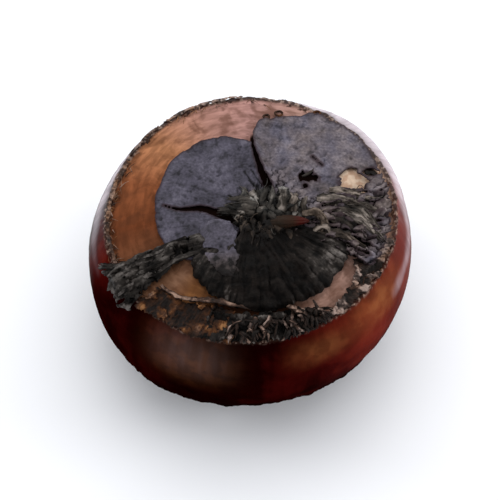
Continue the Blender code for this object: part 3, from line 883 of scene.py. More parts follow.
# Ends of the small grooves in the left disc, sunk a little and painted dark as shade
LEFT_SLITS = (((0.2, 6.5), (1.5, 4.1)), ((-0.6, 6.2), (0.5, 4.4)), ((-0.1, 5.0), (1.0, 3.4)))
# Degrees from one flute of the inner lobe to the next
FLUTE_ANGLE = 7.2
# Holes in the right lobe: x, y and the half width each way. The flesh shows in the first.
HOLE = (12.0, 4.6, 1.6, 1.6)
SIDE_HOLE = (14.1, 5.8, 1.0, 0.65)
DARK_HOLE = (6.9, 5.3, 0.95, 0.80)
DOT = (6.4, 3.9)
DOT_RADIUS = 0.32
# The long splits between the flutes at the right
SPLIT_AZIMUTHS = (-27, -22, -17, -12.5, -8, -3.5, 1, 6, 11)
# The crack between the left disc and the right lobe
CRACK_Y = (3.0, 6.0, 9.7, 11.4, 14.0)
CRACK_X = (2.3, 1.35, 0.35, 0.45, 1.4)
CRACK_HALF_WIDTH = (0.36, 0.30, 0.10, 0.0, 0.0)
# The length of one degree of a circle, as a share of its radius
ARC_PER_DEGREE = 0.0175


def crown_grid(low, high, spacing):
    """x and y of a grid over part of the crown, from the low corner to the high corner."""
    sides = [np.arange(start, end, spacing) for start, end in zip(low, high)]
    return np.meshgrid(*sides, indexing="ij")


def from_sides(azimuth, distance, low, high):
    """Millimetres from the nearer of two azimuths, positive between them."""
    return np.minimum(azimuth - low, high - azimuth) * distance * ARC_PER_DEGREE


def from_hole(x, y, hole):
    """Distance from a hole's middle: 1 at its edge."""
    return np.hypot((x - hole[0]) / hole[2], (y - hole[1]) / hole[3])


def ragged(azimuth, depth, spacing, seed):
    """How far a torn edge strays at each azimuth."""
    return depth * flat_noise(azimuth / spacing, 0.0, seed, octaves=3)


def from_line(x, y, start, end):
    """Distance from a line and the share of the way along it."""
    along = np.array(end) - np.array(start)
    length = np.hypot(*along)
    share = ((x - start[0]) * along[0] + (y - start[1]) * along[1]) / length**2
    held = np.clip(share, 0, 1)
    return np.hypot(x - start[0] - held * along[0], y - start[1] - held * along[1]), held


def flaked(x, y, spacing, shape, heading, seed):
    """Torn flakes about spacing apart, drawn out by shape along their heading.

    For each point: how far inside its flake it lies, from 0 in a crack to 1; a level from 0 to 1 that is the
    same all over its flake; and where it lies along the flake, from -1 to 1.
    """
    draw = np.random.RandomState(seed)
    across_count, up_count = int(np.ptp(x) / spacing) + 3, int(np.ptp(y) / spacing) + 3
    column, row = np.meshgrid(np.arange(across_count), np.arange(up_count))
    centre_x = x.min() + (column.ravel() - 1 + draw.uniform(-0.45, 0.45, column.size)) * spacing
    centre_y = y.min() + (row.ravel() - 1 + draw.uniform(-0.45, 0.45, column.size)) * spacing
    turn = heading(centre_x, centre_y) + draw.normal(0, 0.30, column.size)
    level = draw.rand(column.size)
    x = x + 0.30 * spacing * flat_noise(x / spacing / 0.5, y / spacing / 0.5, seed + 1, 3)
    y = y + 0.30 * spacing * flat_noise(x / spacing / 0.5, y / spacing / 0.5, seed + 2, 3)
    nearest, second = np.full(len(x), 99.0), np.full(len(x), 99.0)
    owner, place_along = np.zeros(len(x), int), np.zeros(len(x))
    for i in range(column.size):
        from_x, from_y = x - centre_x[i], y - centre_y[i]
        along = (from_x * math.cos(turn[i]) + from_y * math.sin(turn[i])) / (spacing * shape)
        across = (from_y * math.cos(turn[i]) - from_x * math.sin(turn[i])) * shape / spacing
        away = np.hypot(along, across)
        nearer = away < nearest
        second = np.where(nearer, nearest, np.minimum(second, away))
        nearest = np.where(nearer, away, nearest)
        owner[nearer], place_along[nearer] = i, along[nearer]
    return smooth_share(second - nearest, 0.0, 0.22), level[owner], np.clip(place_along, -1, 1)


def scale_sheet(name, x, y, inside, lift, finish, stands_for, thickness=0.13, tint=0.5, rimmed=True):
    """A papery scale over the crown where inside is positive.

    lift gives its height, its relief (painted shade, dark in folds and cracks), its hue and what is added to
    its tint.
    """
    x, y, faces, depth = clipped_grid(x, y, inside)
    azimuth, distance = polar(x, y)
    height, relief, hue, extra = lift(x, y, azimuth, distance, depth)
    points = place(azimuth, distance, np.maximum(height, 0.08))
    grain = rows_of(np.radians(azimuth) * 10.0, distance, 2.0)
    shade = tint + extra + 0.25 * flat_noise(x / 3.0, y / 3.0, 91)
    depth = depth if rimmed else depth + 1.0
    attributes = {"grain": grain, "tint": shade, "depth": depth, "relief": np.clip(relief, 0, 1), "hue": hue}
    return add_piece(name, points, faces, finish, stands_for, attributes, thickness)


def left_disc(finish):
    """The round left lobe of the outer scale: flat, granular, with a long wedge-shaped slit."""
    x, y = crown_grid((-13.0, -9.0), (4.5, 13.0), 0.14)
    azimuth, distance = polar(x, y)
    azimuth = turned(azimuth, 20)
    edge = outline(LEFT_DISC_EDGE, azimuth) - distance + ragged(azimuth, 0.16, 9.0, 51)
    slit, along = from_line(x, y - 0.25 * np.sin(x * 0.9), (-10.0, 1.75), (-1.2, 0.0))
    opening = slit - mix(0.14, 0.85, along**1.6) - 0.08 * flat_noise(x / 0.7, y / 0.7, 52)
    tick, _ = from_line(x, y, (-5.6, -3.7), (-3.9, -4.4))
    sides = from_sides(azimuth, distance, 60, 240)
    crack = np.interp(y, CRACK_Y, CRACK_X) - np.interp(y, CRACK_Y, CRACK_HALF_WIDTH) - x
    crack += 0.1 * flat_noise(x, y / 0.8, 57)
    inside = np.minimum.reduce([edge, opening, tick - 0.16, sides, crack, distance - 1.2])

    def lift(x, y, azimuth, distance, depth):
        rows = rows_of(x, y)
        broad = 0.14 * fractal(rows, 4.5, 2, 53)
        grain = 0.045 * fractal(rows, 0.6, 3, 54)
        curled = 0.18 * (1 - smooth_share(depth, 0.0, 0.5)) * (0.5 + 0.7 * fractal(rows, 3.0, 2, 55))
        centre = 1 - smooth_share(np.hypot(x - 1.5, y - 1.0), 2.2, 4.6)
        messy = ridged(rows_of(azimuth / 9, distance / 4), 1.0, 3, 56) * centre
        pits = smooth_share(fractal(rows, 1.1, 3, 58), 0.22, 0.42)
        for start, end in LEFT_SLITS:
            groove, _ = from_line(x, y, start, end)
            pits = np.maximum(pits, 2.4 * (1 - smooth_share(groove, 0.02, 0.18)))
        # Painted shade: the relief is darker in the pits and grooves and round the messy middle, and lighter
        # on its crests.
        relief = 0.58 + 0.14 * fractal(rows, 0.9, 3, 59) - 0.16 * pits - 0.5 * centre * (1 - messy)
        return 0.24 + broad + grain + curled + 0.45 * messy - 0.07 * pits, relief, 0.35 * centre * messy, 0.0

    return scale_sheet("outer_scale_left", x, y, inside, lift, finish, ["outer_scale"])


def right_lobe(finish):
    """The wide right lobe of the outer scale: smooth at the back, fluted at the right, with a torn hole."""
    x, y = crown_grid((-1.5, -9.5), (17.5, 17.0), 0.14)
    azimuth, distance = polar(x, y)
    azimuth = turned(azimuth, -100)
    fluted = 1 - smooth_share(azimuth, 12, 24)
    edge = outline(RIGHT_LOBE_EDGE, azimuth) - distance - 0.45 * bump_at(azimuth, 5, 38)
    edge += ragged(azimuth, 0.25, 4.0, 61) + (0.3 + fluted) * ragged(azimuth, 0.35, 1.3, 62)
    hole = from_hole(x, y, HOLE) - 1 + 0.38 * flat_noise(x / 1.2, y / 1.2, 63, octaves=3)
    side_hole = (from_hole(x, y, SIDE_HOLE) - 1 + 0.4 * flat_noise(x / 0.6, y / 0.6, 64)) * 0.6
    dark_hole = (from_hole(x, y, DARK_HOLE) - 1 + 0.9 * flat_noise(x, y, 65, octaves=3)) * 0.8
    dot = np.hypot(x - DOT[0], y - DOT[1]) - DOT_RADIUS
    crack = x - np.interp(y, CRACK_Y, CRACK_X) - np.interp(y, CRACK_Y, CRACK_HALF_WIDTH)
    crack += 0.12 * flat_noise(x, y / 0.7, 76)
    tick, _ = from_line(x, y, (7.3, 8.0), (8.4, 6.8))
    splits = []
    for i, at in enumerate(SPLIT_AZIMUTHS):
        turn = math.radians(at)
        reaches = ((5.5 + 2.2 * (i % 3), 0.02), (15.2, -0.01))
        ends = [(r * math.cos(turn + swing), r * math.sin(turn + swing)) for r, swing in reaches]
        line, share = from_line(x, y, *ends)
        wide = 0.26 * np.sin(np.pi * share) ** 0.7
        splits.append(line - wide + 0.30 * flat_noise(x / 1.3, y / 1.3, 66 + i) + 0.03)
    low_side = (azimuth + 27) * distance * ARC_PER_DEGREE + ragged(distance * 10, 0.5, 9.0, 75)
    inside = np.minimum.reduce([
        edge, hole * 1.1, side_hole, crack, dark_hole, tick - 0.14, dot, low_side, distance - 1.4, *splits,
    ])

    def lift(x, y, azimuth, distance, depth):
        rows = rows_of(x, y)
        broad = 0.20 * fractal(rows, 4.0, 2, 67)
        grain = 0.045 * fractal(rows, 0.7, 3, 68)
        fluted = 1 - smooth_share(azimuth, 10, 24)
        inner = 1 - smooth_share(distance, 5.0, 8.5)
        inner = inner * smooth_share(azimuth, -40, 0) * (1 - smooth_share(azimuth, 60, 85))
        rough = np.maximum(fluted, inner)
        crest, level, along = flaked(x, y, 1.35, 1.7, lambda a, b: np.arctan2(b, a), 69)
        curled = (0.22 + 0.45 * rough) * (1 - smooth_share(depth, 0.0, 0.6))
        curled *= 0.5 + 0.8 * fractal(rows, 1.6, 2, 70)
        rise = 0.45 * (1 - smooth_share(distance, 1.5, 6.5))
        beside_crack = x - np.interp(y, CRACK_Y, CRACK_X)
        left_edge = 0.35 * (1 - smooth_share(beside_crack, 0.0, 1.4))
        pits = smooth_share(fractal(rows, 1.0, 3, 71), 0.24, 0.42) * (1 - rough)
        height = 0.36 + broad + grain + curled + rise + left_edge - 0.06 * pits
        height += 0.02 * crest + rough * (0.45 * crest + 0.35 * level + 0.16 * along)
        # Painted shade: darker in the pits, and where the lobe is rough, dark in the cracks between its
        # flakes and lighter on the higher ones.
        ribbed = (0.30 + 0.70 * crest) * (0.42 + 0.42 * level) + 0.30 * fractal(rows, 1.4, 3, 74)
        relief = mix(0.60 + 0.16 * fractal(rows, 1.1, 3, 72) - 0.20 * pits, ribbed, rough)
        warm = 0.35 + 0.5 * fractal(rows, 2.6, 3, 73) + 0.30 * fluted
        return height, relief, np.clip(warm, 0.0, 0.9), 0.12 * fluted

    return scale_sheet("outer_scale_right", x, y, inside, lift, finish, ["outer_scale"], tint=0.62)


def inner_lobe(finish):
    """The near-black inner scale at the front: rounded radial flutes with a worn, scalloped rim."""
    x, y = crown_grid((-8.5, -14.5), (14.5, 0.0), 0.13)
    azimuth, distance = polar(x, y)
    azimuth = turned(azimuth, 90)
    edge = outline(INNER_LOBE_EDGE, azimuth) - distance + ragged(azimuth, 0.4, 6.0, 81)
    edge += 0.22 * np.abs(np.cos(math.pi * (azimuth + 7 * flat_noise(azimuth / 20, 0.0, 80)) / FLUTE_ANGLE))
    sides = from_sides(azimuth, distance, 216, 348)
    nearest = 1.3 + 3.0 * (1 - smooth_share(azimuth, 242, 258))
    inside = np.minimum.reduce([edge, sides, distance - nearest])

    def lift(x, y, azimuth, distance, depth):
        azimuth = turned(azimuth, 90)
        rows = rows_of(x, y)
        share = distance / outline(INNER_LOBE_EDGE, azimuth)
        wobble = 7 * flat_noise(azimuth / 20, 0.0, 80) + 3.5 * flat_noise(distance / 3.0, azimuth / 24, 82, 3)
        flute = np.abs(np.cos(math.pi * (azimuth + wobble) / FLUTE_ANGLE)) ** 0.6
        flute *= np.clip(0.75 + 1.0 * flat_noise(azimuth / 8, distance / 4, 83), 0.3, 1.2)
        pleated = 0.35 + 0.65 * smooth_share(azimuth, 262, 285)
        steps = 0.5 + 0.5 * np.sin(distance * 5.2 + 2.5 * flat_noise(azimuth / 9, distance / 3, 85))
        swell = 1.05 * np.sin(np.pi * np.clip(share * 0.85 + 0.12, 0, 1)) ** 0.7
        ends = smooth_share(azimuth, 216, 236) * (1 - smooth_share(azimuth, 334, 348))
        grain = 0.05 * fractal(rows, 0.5, 3, 84)
        broad = 0.35 * fractal(rows, 3.2, 2, 86)
        drop = 0.4 * (1 - smooth_share(depth, 0.0, 0.6))
        # Painted shade and light: dark in the valleys between the flutes, lighter on their crests, most of
        # all near the worn rim.
        relief = 0.25 + 0.60 * flute * (0.75 + 0.25 * steps) + 0.6 * fractal(rows, 1.4, 3, 87)
        relief += 0.35 * (1 - smooth_share(depth, 0.0, 0.9)) * smooth_share(flute, 0.5, 0.9)
        height = 0.42 * pleated * flute * (0.3 + 0.7 * share) + swell + broad + 0.07 * steps
        height = 0.50 + height * (0.35 + 0.65 * ends)
        ridge = bump_at(azimuth, 325, 24) * bump_at(distance, 10.8, 4.2)
        left = 1 - smooth_share(azimuth, 240, 268)
        extra = 0.55 * ridge + 0.20 * left
        hue = 0.10 + 0.75 * ridge + 0.40 * left + 0.35 * fractal(rows, 2.0, 2, 88)
        return height + grain - drop, relief, np.clip(hue, 0, 1), extra

    return scale_sheet("inner_scale_lobe", x, y, inside, lift, finish, ["inner_scale"], 0.15, tint=0.26)


def scale_tongue(finish):
    """The end of the left lobe that hangs down over the dark inner scale."""
    x, y = crown_grid((-7.5, -9.0), (0.5, -1.0), 0.12)
    line, along = from_line(x, y, (-3.6, -2.9), (-2.6, -6.9))
    slit, _ = from_line(x, y, (-5.6, -4.5), (-3.7, -5.1))
    inside = mix(2.1, 1.5, along) - line + 0.6 * flat_noise(x / 1.4, y / 1.6, 95, octaves=3)
    inside = np.minimum(inside, slit - 0.30)

    def lift(x, y, azimuth, distance, depth):
        rows = rows_of(x, y)
        share = smooth_share(-y, 4.4, 7.9)
        folds = ridged(rows_of(x / 1.8, y / 5.0), 1.0, 2, 96)
        # Painted shade in the folds; the relief also darkens towards the lower end.
        relief = 0.56 - 0.48 * share + 0.25 * folds + 0.3 * fractal(rows, 1.3, 3, 97)
        relief -= 0.25 * smooth_share(fractal(rows, 0.8, 3, 99), 0.15, 0.4)
        height = mix(0.65, 1.75, smooth_share(x, -6.0, -3.8)) + 0.15 * folds + 0.2 * fractal(rows, 2.0, 2, 98)
        height -= 0.2 * (1 - smooth_share(depth, 0.0, 0.5))
        return height, relief, np.clip(0.05 + 0.9 * share, 0, 1), -0.04 - 0.12 * share

    return scale_sheet("outer_scale_tongue", x, y, inside, lift, finish, ["outer_scale"], 0.12, tint=0.46,
                       rimmed=False)


def ring_band(arc, low_share, high_share, spacing=0.13):
    """Azimuth and distance grids of a band that follows the shoulder ring."""
    columns = int(math.radians(arc[1] - arc[0]) * SHOULDER_DISTANCE / spacing)
    rows = int((high_share - low_share) * SHOULDER_DISTANCE / spacing)
    return np.meshgrid(
        np.linspace(arc[0], arc[1], columns),
        np.linspace(low_share, high_share, rows) * SHOULDER_DISTANCE,
        indexing="ij",
    )


def ring_sheet(name, arc, low, high, crinkle, curl, finish, stands_for, seed, tint, holes, hue=0.5, torn=0.6,
               bright=0.0):
    """A scrap of scale along the shoulder ring, crinkled, its inner edge torn and curled up.

    low has (azimuth, share of the crown's reach) points of its inner edge, and high is its outer edge's
    share. holes is how much of it is worn through, and bright its least relief, the floor of its painted
    shade.
    """
    low_azimuths, low_shares = zip(*low)
    azimuth, distance = ring_band(arc, min(low_shares) - 0.05, high + 0.05)
    inner = np.interp(azimuth, low_azimuths, low_shares) * SHOULDER_DISTANCE
    inner += ragged(azimuth, torn, 5.0, seed) + ragged(azimuth, torn * 0.6, 1.2, seed + 1)
    outer = high * SHOULDER_DISTANCE
    outer += ragged(azimuth, torn * 0.8, 4.0, seed + 2) + ragged(azimuth, torn * 0.7, 1.0, seed + 3)
    ends = np.minimum(azimuth - arc[0], arc[1] - azimuth) * 0.3 - 0.25
    ends += ragged(distance * 8, 0.5, 6.0, seed + 4)
    worn = 0.6 - holes + 1.6 * np.abs(flat_noise(azimuth / 4, distance / 1.1, seed + 5, 3))
    inside = np.minimum.reduce([distance - inner, outer - distance, ends, worn])
    azimuth, distance, faces, depth = clipped_grid(azimuth, distance, inside)
    low = np.interp(azimuth, low_azimuths, low_shares)
    rows = place(azimuth, distance, 0.0)
    pleats, level, along = flaked(*rows.T[:2], 1.45, 1.35, lambda x, y: np.arctan2(y, x) + 0.9, seed + 6)
    lumps = fractal(rows, 2.0, 3, seed + 7)
    inward = 1 - smooth_share(distance / SHOULDER_DISTANCE - low, 0.0, 0.09)
    drape = smooth_share(distance, SHOULDER_DISTANCE - 0.8, SHOULDER_DISTANCE + 0.1) * 0.24
    lift = 0.12 + crinkle * (0.25 * pleats + 0.8 * level + 0.6 * along + 0.6 * lumps)
    lift += curl * inward * (0.6 + 0.9 * lumps) + drape
    points = place(azimuth, distance, np.maximum(lift, 0.06))
    grain = rows_of(np.radians(azimuth) * 15.0, distance, seed)
    shade = tint + 0.3 * flat_noise(azimuth / 6, distance / 2, seed + 8)
    # Painted light and shade: each flake is lit towards its tip and shaded at its root, dark in the cracks
    # between flakes and lighter on the higher ones.
    lit = 0.35 + 0.65 * smooth_share(along, -0.7, 0.5)
    relief = np.clip((0.5 + 0.5 * pleats) * lit * (0.15 + 0.95 * level**1.3) + 0.45 * lumps, bright, 1)
    warm = np.clip(hue + 0.8 * flat_noise(azimuth / 7, distance / 1.5, seed + 10), 0, 1)
    attributes = {"grain": grain, "tint": shade, "depth": depth, "relief": relief, "hue": warm}
    return add_piece(name, points, faces, finish, stands_for, attributes, 0.10)


def front_rim(finish):
    """The pale raised edge between the tan arc and the scrap below it, front left."""
    bundle = Bundle(5)
    for stops, width, tint in (
        (((-10.1, -9.2, 0.5), (-8.9, -10.2, 0.6), (-7.6, -11.0, 0.6), (-5.8, -11.1, 0.6)), 0.70, 0.70),
        (((-6.8, -11.0, 0.6), (-4.6, -11.3, 0.7), (-2.6, -11.7, 0.7), (0.3, -12.6, 0.6)), 0.90, 0.68),
    ):
        bundle.strip(stops, width, roll=0.6, twist=-0.3, crumple=0.2, jag=0.1, tint=tint, hue=0.35, taper=0.6)
    return bundle.piece("front_rim", finish, ["ring_scale_front_left"], 0.10)


def front_fringe(finish):
    """Short crinkled strands that stick out of the front scrap over the ring, dark with a few pale ones."""
    bundle = Bundle(10)
    draw = bundle.draw
    for _ in range(85):
        at = draw.uniform(261, 303)
        start = SHOULDER_DISTANCE * draw.uniform(0.80, 0.97)
        length = min(draw.uniform(0.9, 2.4), SHOULDER_DISTANCE * 1.015 - start)
        slant = draw.uniform(-5, 5)
        stops = []
        for share, low, high in ((0.0, 0.4, 0.8), (0.5, 0.7, 1.3), (1.0, 0.3, 0.8)):
            x, y = cartesian(at + slant * share, start + length * share)
            stops.append((x, y, draw.uniform(low, high)))
        pale = draw.rand() < 0.40
        width = draw.uniform(0.30, 0.65)
        bundle.strip(stops, width, roll=draw.uniform(-1.0, 1.0), twist=draw.uniform(-0.8, 0.8), arch=0.5,
                     crumple=0.3, jag=0.5,
                     tint=draw.uniform(0.55, 0.90) if pale else draw.uniform(0.0, 0.35),
                     hue=draw.uniform(0.0, 0.35), taper=0.7)
    for x, y in ((4.5, -12.3), (5.2, -12.8), (5.8, -12.9)):
        stops = [(x, y, 0.7), (x + 0.5, y - 0.6, 1.1), (x + 1.1, y - 0.9, 0.8)]
        bundle.strip(stops, 0.8, roll=0.3, crumple=0.3, jag=0.4, tint=0.95, hue=0.3)
    return bundle.piece("front_fringe", finish, ["ring_scale_front"], 0.07)


FLAP_AZIMUTH = 211
# Half the flap's width, by the distance along it
FLAP_WIDTHS = ((3.5, 7.0, 10.5, 14.0, 17.0, 19.5), (0.5, 1.0, 1.45, 2.1, 2.6, 2.4))
# The loose strips: the place across the flap, and the ends along it
FLAP_STRIPS = ((1.15, 6.0, 13.5), (-1.2, 7.5, 15.5), (0.2, 9.0, 17.5), (0.9, 13.0, 18.4), (-0.7, 11.5, 18.0))


def on_flap(along, across):
    """The x and y of a place on the flap's strap."""
    turn = math.radians(FLAP_AZIMUTH)
    x = along * math.cos(turn) - across * math.sin(turn)
    return x, along * math.sin(turn) + across * math.cos(turn)


def flap_folds(finish):
    """The crumpled strap that runs from the left disc out over the shoulder, folded along its length."""
    along, across = np.meshgrid(np.arange(3.4, 19.8, 0.12), np.arange(-3.4, 3.4, 0.11), indexing="ij")
    half = np.interp(along, *FLAP_WIDTHS)
    sides = half - np.abs(across) + 0.30 * flat_noise(along / 1.6, np.sign(across), 100, 3)
    end = 18.6 + 1.1 * flat_noise(across / 1.0, 0.0, 101, 3) - along
    worn = 0.42 - flat_noise(along / 2.2, across / 0.7, 102, 3) + (17.5 - along) * 0.03
    inside = np.minimum.reduce([sides, end, worn, along - 3.5])
    along, across, faces, depth = clipped_grid(along, across, inside)
    half = np.interp(along, *FLAP_WIDTHS)
    x, y = on_flap(along, across + 0.35 * np.sin(along * 0.42 + 0.6))
    rows = rows_of(along, across)
    folds, level, tip = flaked(along, across, 1.9, 2.3, lambda a, b: np.full(len(a), 0.12), 103)
    bow = 0.75 * (1 - (across / half) ** 2) * smooth_share(along, 3.5, 8.0)
    lumps = fractal(rows, 2.8, 3, 104)
    height = 0.30 + bow * (0.8 + 0.6 * lumps) + 0.15 * folds + 0.55 * level + 0.35 * tip + 0.35 * lumps
    height -= 0.45 * smooth_share(along, 17.0, 19.0)
    points = place_xy(x, y, np.maximum(height, 0.12))
    # Painted shade: dark in the cracks between folds, lighter on the higher folds, towards their tips and on
    # the lumps.
    relief = np.clip((0.35 + 0.65 * folds) * (0.25 + 0.60 * level) + 0.15 * tip + 0.4 * lumps, 0, 1)
    shade = 0.50 + 0.25 * smooth_share(along, 15.0, 18.5) + 0.25 * lumps
    grain = rows_of(across, along)
    hue = np.clip(0.80 + fractal(rows, 2.5, 2, 105), 0, 1)
    attributes = {"grain": grain, "tint": shade, "depth": depth, "relief": relief, "hue": hue}
    return add_piece("torn_flap_folds", points, faces, finish, ["torn_flap"], attributes, 0.12)


def flap_shreds(finish):
    """Loose strips along the flap, and short shreds at its end."""
    bundle = Bundle(6)
    draw = bundle.draw
    for side, low, high in FLAP_STRIPS:
        wave = 0.35 * draw.randn()
        places = ((low, side, 0.7), ((low + high) / 2, side + wave, 1.5), (high, side, 1.0))
        stops = [(*on_flap(along, across), lift) for along, across, lift in places]
        bundle.strip(stops, draw.uniform(0.5, 0.9), roll=draw.uniform(0.3, 0.9), crumple=0.35, jag=0.3,
                     tint=draw.uniform(0.6, 1.0), hue=draw.uniform(0.6, 1.0))
    for _ in range(10):
        turn = math.radians(draw.uniform(202, 219))
        start = draw.uniform(14.6, 17.0)
        end = start + draw.uniform(1.2, 2.4)
        swing = draw.uniform(-0.08, 0.08)
        reaches = ((start, 0.6), ((start + end) / 2, draw.uniform(0.8, 1.3)), (end, 0.4))
        stops = [(r * math.cos(turn + swing * i), r * math.sin(turn + swing * i), lift)
                 for i, (r, lift) in enumerate(reaches)]
        bundle.strip(stops, draw.uniform(0.6, 1.3), roll=draw.uniform(-0.7, 0.7), crumple=0.4, jag=0.6,
                     tint=draw.uniform(0.5, 1.0), hue=draw.uniform(0.6, 1.0))
    return bundle.piece("torn_flap_shreds", finish, ["torn_flap"], 0.08)


# Tuft, ring fibres and shoot

TUFT_CENTRE = (1.9, -0.6)
# x, y and the half width each way of the small hole in the tuft, a sunk dent painted dark as shade
TUFT_HOLE = (0.9, -1.5, 1.1, 1.4)


def tuft_heading(x, y):
    """The way the tuft's flakes point: roughly away from its middle."""
    return np.arctan2(y - TUFT_CENTRE[1], x - TUFT_CENTRE[0]) + 2.2 * flat_noise(x / 1.6, y / 1.6, 208)


def tuft_core(finish):
    """The matted heap of old leaf bases under the loose ones."""
    x, y = crown_grid((-3.5, -6.0), (8.0, 5.5), 0.11)
    turn, away = polar(x - TUFT_CENTRE[0], y - TUFT_CENTRE[1])
    reach = 3.7 + 0.9 * np.cos(np.radians(turn - 25)) + 1.1 * flat_noise(*cartesian(turn, 1.6), 200, 3)
    x, y, faces, depth = clipped_grid(x, y, reach - away)
    turn, away = polar(x - TUFT_CENTRE[0], y - TUFT_CENTRE[1])
    rows = rows_of(x, y)
    crests, level, along = flaked(x, y, 1.05, 1.35, tuft_heading, 202)
    lumps = fractal(rows, 1.8, 2, 204)
    dent = np.clip(1 - from_hole(x, y, TUFT_HOLE), 0, 1)
    height = 0.35 + 1.75 * np.clip(1 - away / 4.8, 0, 1) ** 0.9 + 0.3 * lumps - 1.8 * dent
    height += 0.30 * crests + 0.55 * level + 0.25 * along
    points = place_xy(x, y, np.maximum(height, 0.2))
    below = smooth_share(TUFT_CENTRE[1] - y, -0.4, 1.2)
    # Painted shade: dark in the cracks and in the dent of the hole, lighter on higher flakes, and dimmer
    # below the middle.
    relief = crests * (0.15 + 0.70 * level**1.5) * (1 - 0.5 * below) * (1 - smooth_share(dent, 0.0, 0.5))
    relief = np.clip(relief + 0.25 * fractal(rows, 0.9, 2, 205), 0, 1)
    hue = np.clip(0.25 + 0.7 * below + 0.5 * fractal(rows, 2.0, 2, 206), 0, 1)
    tint = np.clip(0.80 - 0.28 * below + 0.3 * fractal(rows, 1.7, 2, 207), 0.1, 1.0)
    grain = rows_of(turn / 19, away)
    attributes = {"grain": grain, "tint": tint, "depth": depth, "relief": relief, "hue": hue}
    return add_piece("tuft_core", points, faces, finish, ["tuft"], attributes, 0.12)


# Leaf bases that lie in known places: (x, y, lift) stops, width, tint and hue
TORN_LEAVES = (
    (((2.3, -0.3, 1.9), (2.5, 1.3, 2.8), (2.6, 3.2, 1.7)), 0.9, 0.45, 0.3),
    (((3.5, -0.3, 2.0), (3.8, 1.2, 2.9), (3.8, 3.0, 1.8)), 1.3, 0.82, 0.5),
    (((4.8, -0.3, 1.9), (4.9, 1.0, 2.7), (5.1, 2.4, 1.7)), 1.2, 0.66, 0.7),
    (((6.0, -0.2, 1.6), (6.1, 0.9, 2.2), (6.4, 2.0, 1.5)), 0.9, 0.50, 0.6),
    (((0.9, 0.4, 1.7), (-0.8, 1.2, 1.7), (-2.9, 1.7, 0.8)), 2.4, 0.40, 0.45),
    (((0.6, -0.2, 1.8), (-1.4, 0.2, 1.6), (-3.9, 0.9, 0.6)), 1.6, 0.28, 0.5),
    (((-1.0, 1.8, 1.1), (-0.6, 2.8, 1.2), (-0.8, 4.0, 0.7)), 1.0, 0.42, 0.1),
    (((1.3, 0.6, 1.9), (1.6, 2.0, 2.0), (2.0, 4.0, 1.0)), 0.7, 0.25, 0.3),
    (((-0.4, -0.8, 1.3), (-0.8, -1.9, 1.5), (-1.0, -3.0, 1.4)), 0.9, 0.42, 0.8),
    (((0.2, -1.0, 1.4), (0.1, -3.0, 1.5), (-0.3, -5.2, 1.6)), 1.1, 0.32, 0.9),
    (((1.3, -1.0, 1.4), (1.3, -2.8, 1.5), (1.0, -4.9, 1.6)), 1.0, 0.40, 0.9),
    (((2.2, -1.6, 1.2), (2.6, -3.0, 1.3), (2.8, -4.6, 1.4)), 0.9, 0.25, 0.8),
    (((5.9, -0.2, 1.6), (7.6, -0.5, 1.9), (8.5, -1.6, 1.7), (8.0, -2.9, 1.4)), 1.0, 0.95, 0.95),
    (((7.0, -2.6, 1.2), (8.6, -2.2, 1.6), (9.4, -3.4, 1.2)), 0.7, 0.80, 0.7),
    (((9.6, 1.0, 1.0), (12.4, -0.6, 1.3), (14.2, -2.2, 1.1), (15.7, -4.2, 0.9)), 1.6, 0.85, 0.55),
    (((7.6, 2.0, 1.1), (10.6, 1.6, 1.2), (13.4, 0.4, 1.1), (15.6, -0.6, 0.9)), 1.2, 0.72, 0.6),
    (((7.2, -3.0, 1.3), (10.2, -2.9, 1.5), (12.2, -4.2, 1.2), (13.9, -6.0, 0.8)), 1.1, 0.62, 0.8),
    (((9.0, 3.0, 0.9), (11.8, 2.4, 1.1), (15.0, 1.7, 0.9)), 1.1, 0.75, 0.7),
    (((9.0, -0.6, 1.1), (11.4, -1.8, 1.3), (13.4, -3.6, 1.1)), 0.9, 0.25, 0.7),
    (((6.0, 4.9, 0.7), (6.9, 5.3, 1.0), (7.6, 6.2, 0.8)), 0.35, 0.25, 0.6),
    (((13.4, 6.0, 0.4), (14.1, 5.9, 0.5), (14.9, 5.4, 0.4)), 0.8, 0.12, 1.0),
)


def tuft_leaves(finish):
    """Shrivelled leaf bases round the crown's centre: broad torn ones, and small crumbs between them."""
    bundle = Bundle(7)
    draw = bundle.draw
    for stops, width, tint, hue in TORN_LEAVES:
        bundle.strip(stops, width, roll=draw.uniform(-0.3, 0.3), twist=draw.uniform(-0.5, 0.5), arch=0.25,
                     crumple=0.4, jag=0.5, tint=tint, hue=hue, taper=0.8, folds=0.2, step=0.10)
    for _ in range(20):
        turn = draw.uniform(0, 2 * math.pi)
        downward = math.sin(turn) < -0.2
        start = draw.uniform(0.2, 3.4)
        length = draw.uniform(0.8, 1.7)
        base = draw.uniform(1.0, 1.9)
        heading = turn + draw.uniform(-1.6, 1.6)
        x, y = TUFT_CENTRE[0] + start * math.cos(turn), TUFT_CENTRE[1] + start * math.sin(turn)
        if math.hypot(x - TUFT_HOLE[0], y - TUFT_HOLE[1]) < 1.3:
            continue
        stops = [(x + length * share * math.cos(heading), y + length * share * math.sin(heading),
                  base + draw.uniform(0.0, 0.7) * share) for share in (0.0, 0.5, 1.0)]
        pale = draw.rand() < (0.1 if downward else 0.2)
        light = draw.uniform(0.5, 0.75) if pale else draw.uniform(0.05, 0.4)
        hue = draw.uniform(0.5, 1.0) if downward else draw.uniform(0.0, 0.6)
        width = draw.uniform(0.7, 1.4)
        bundle.strip(stops, width, roll=draw.uniform(-0.9, 0.9), twist=draw.uniform(-1.0, 1.0), arch=0.6,
                     crumple=0.5, jag=0.6, tint=light, hue=hue, taper=0.8, folds=0.15, step=0.11)
    return bundle.piece("tuft_leaves", finish, ["tuft"], 0.09)


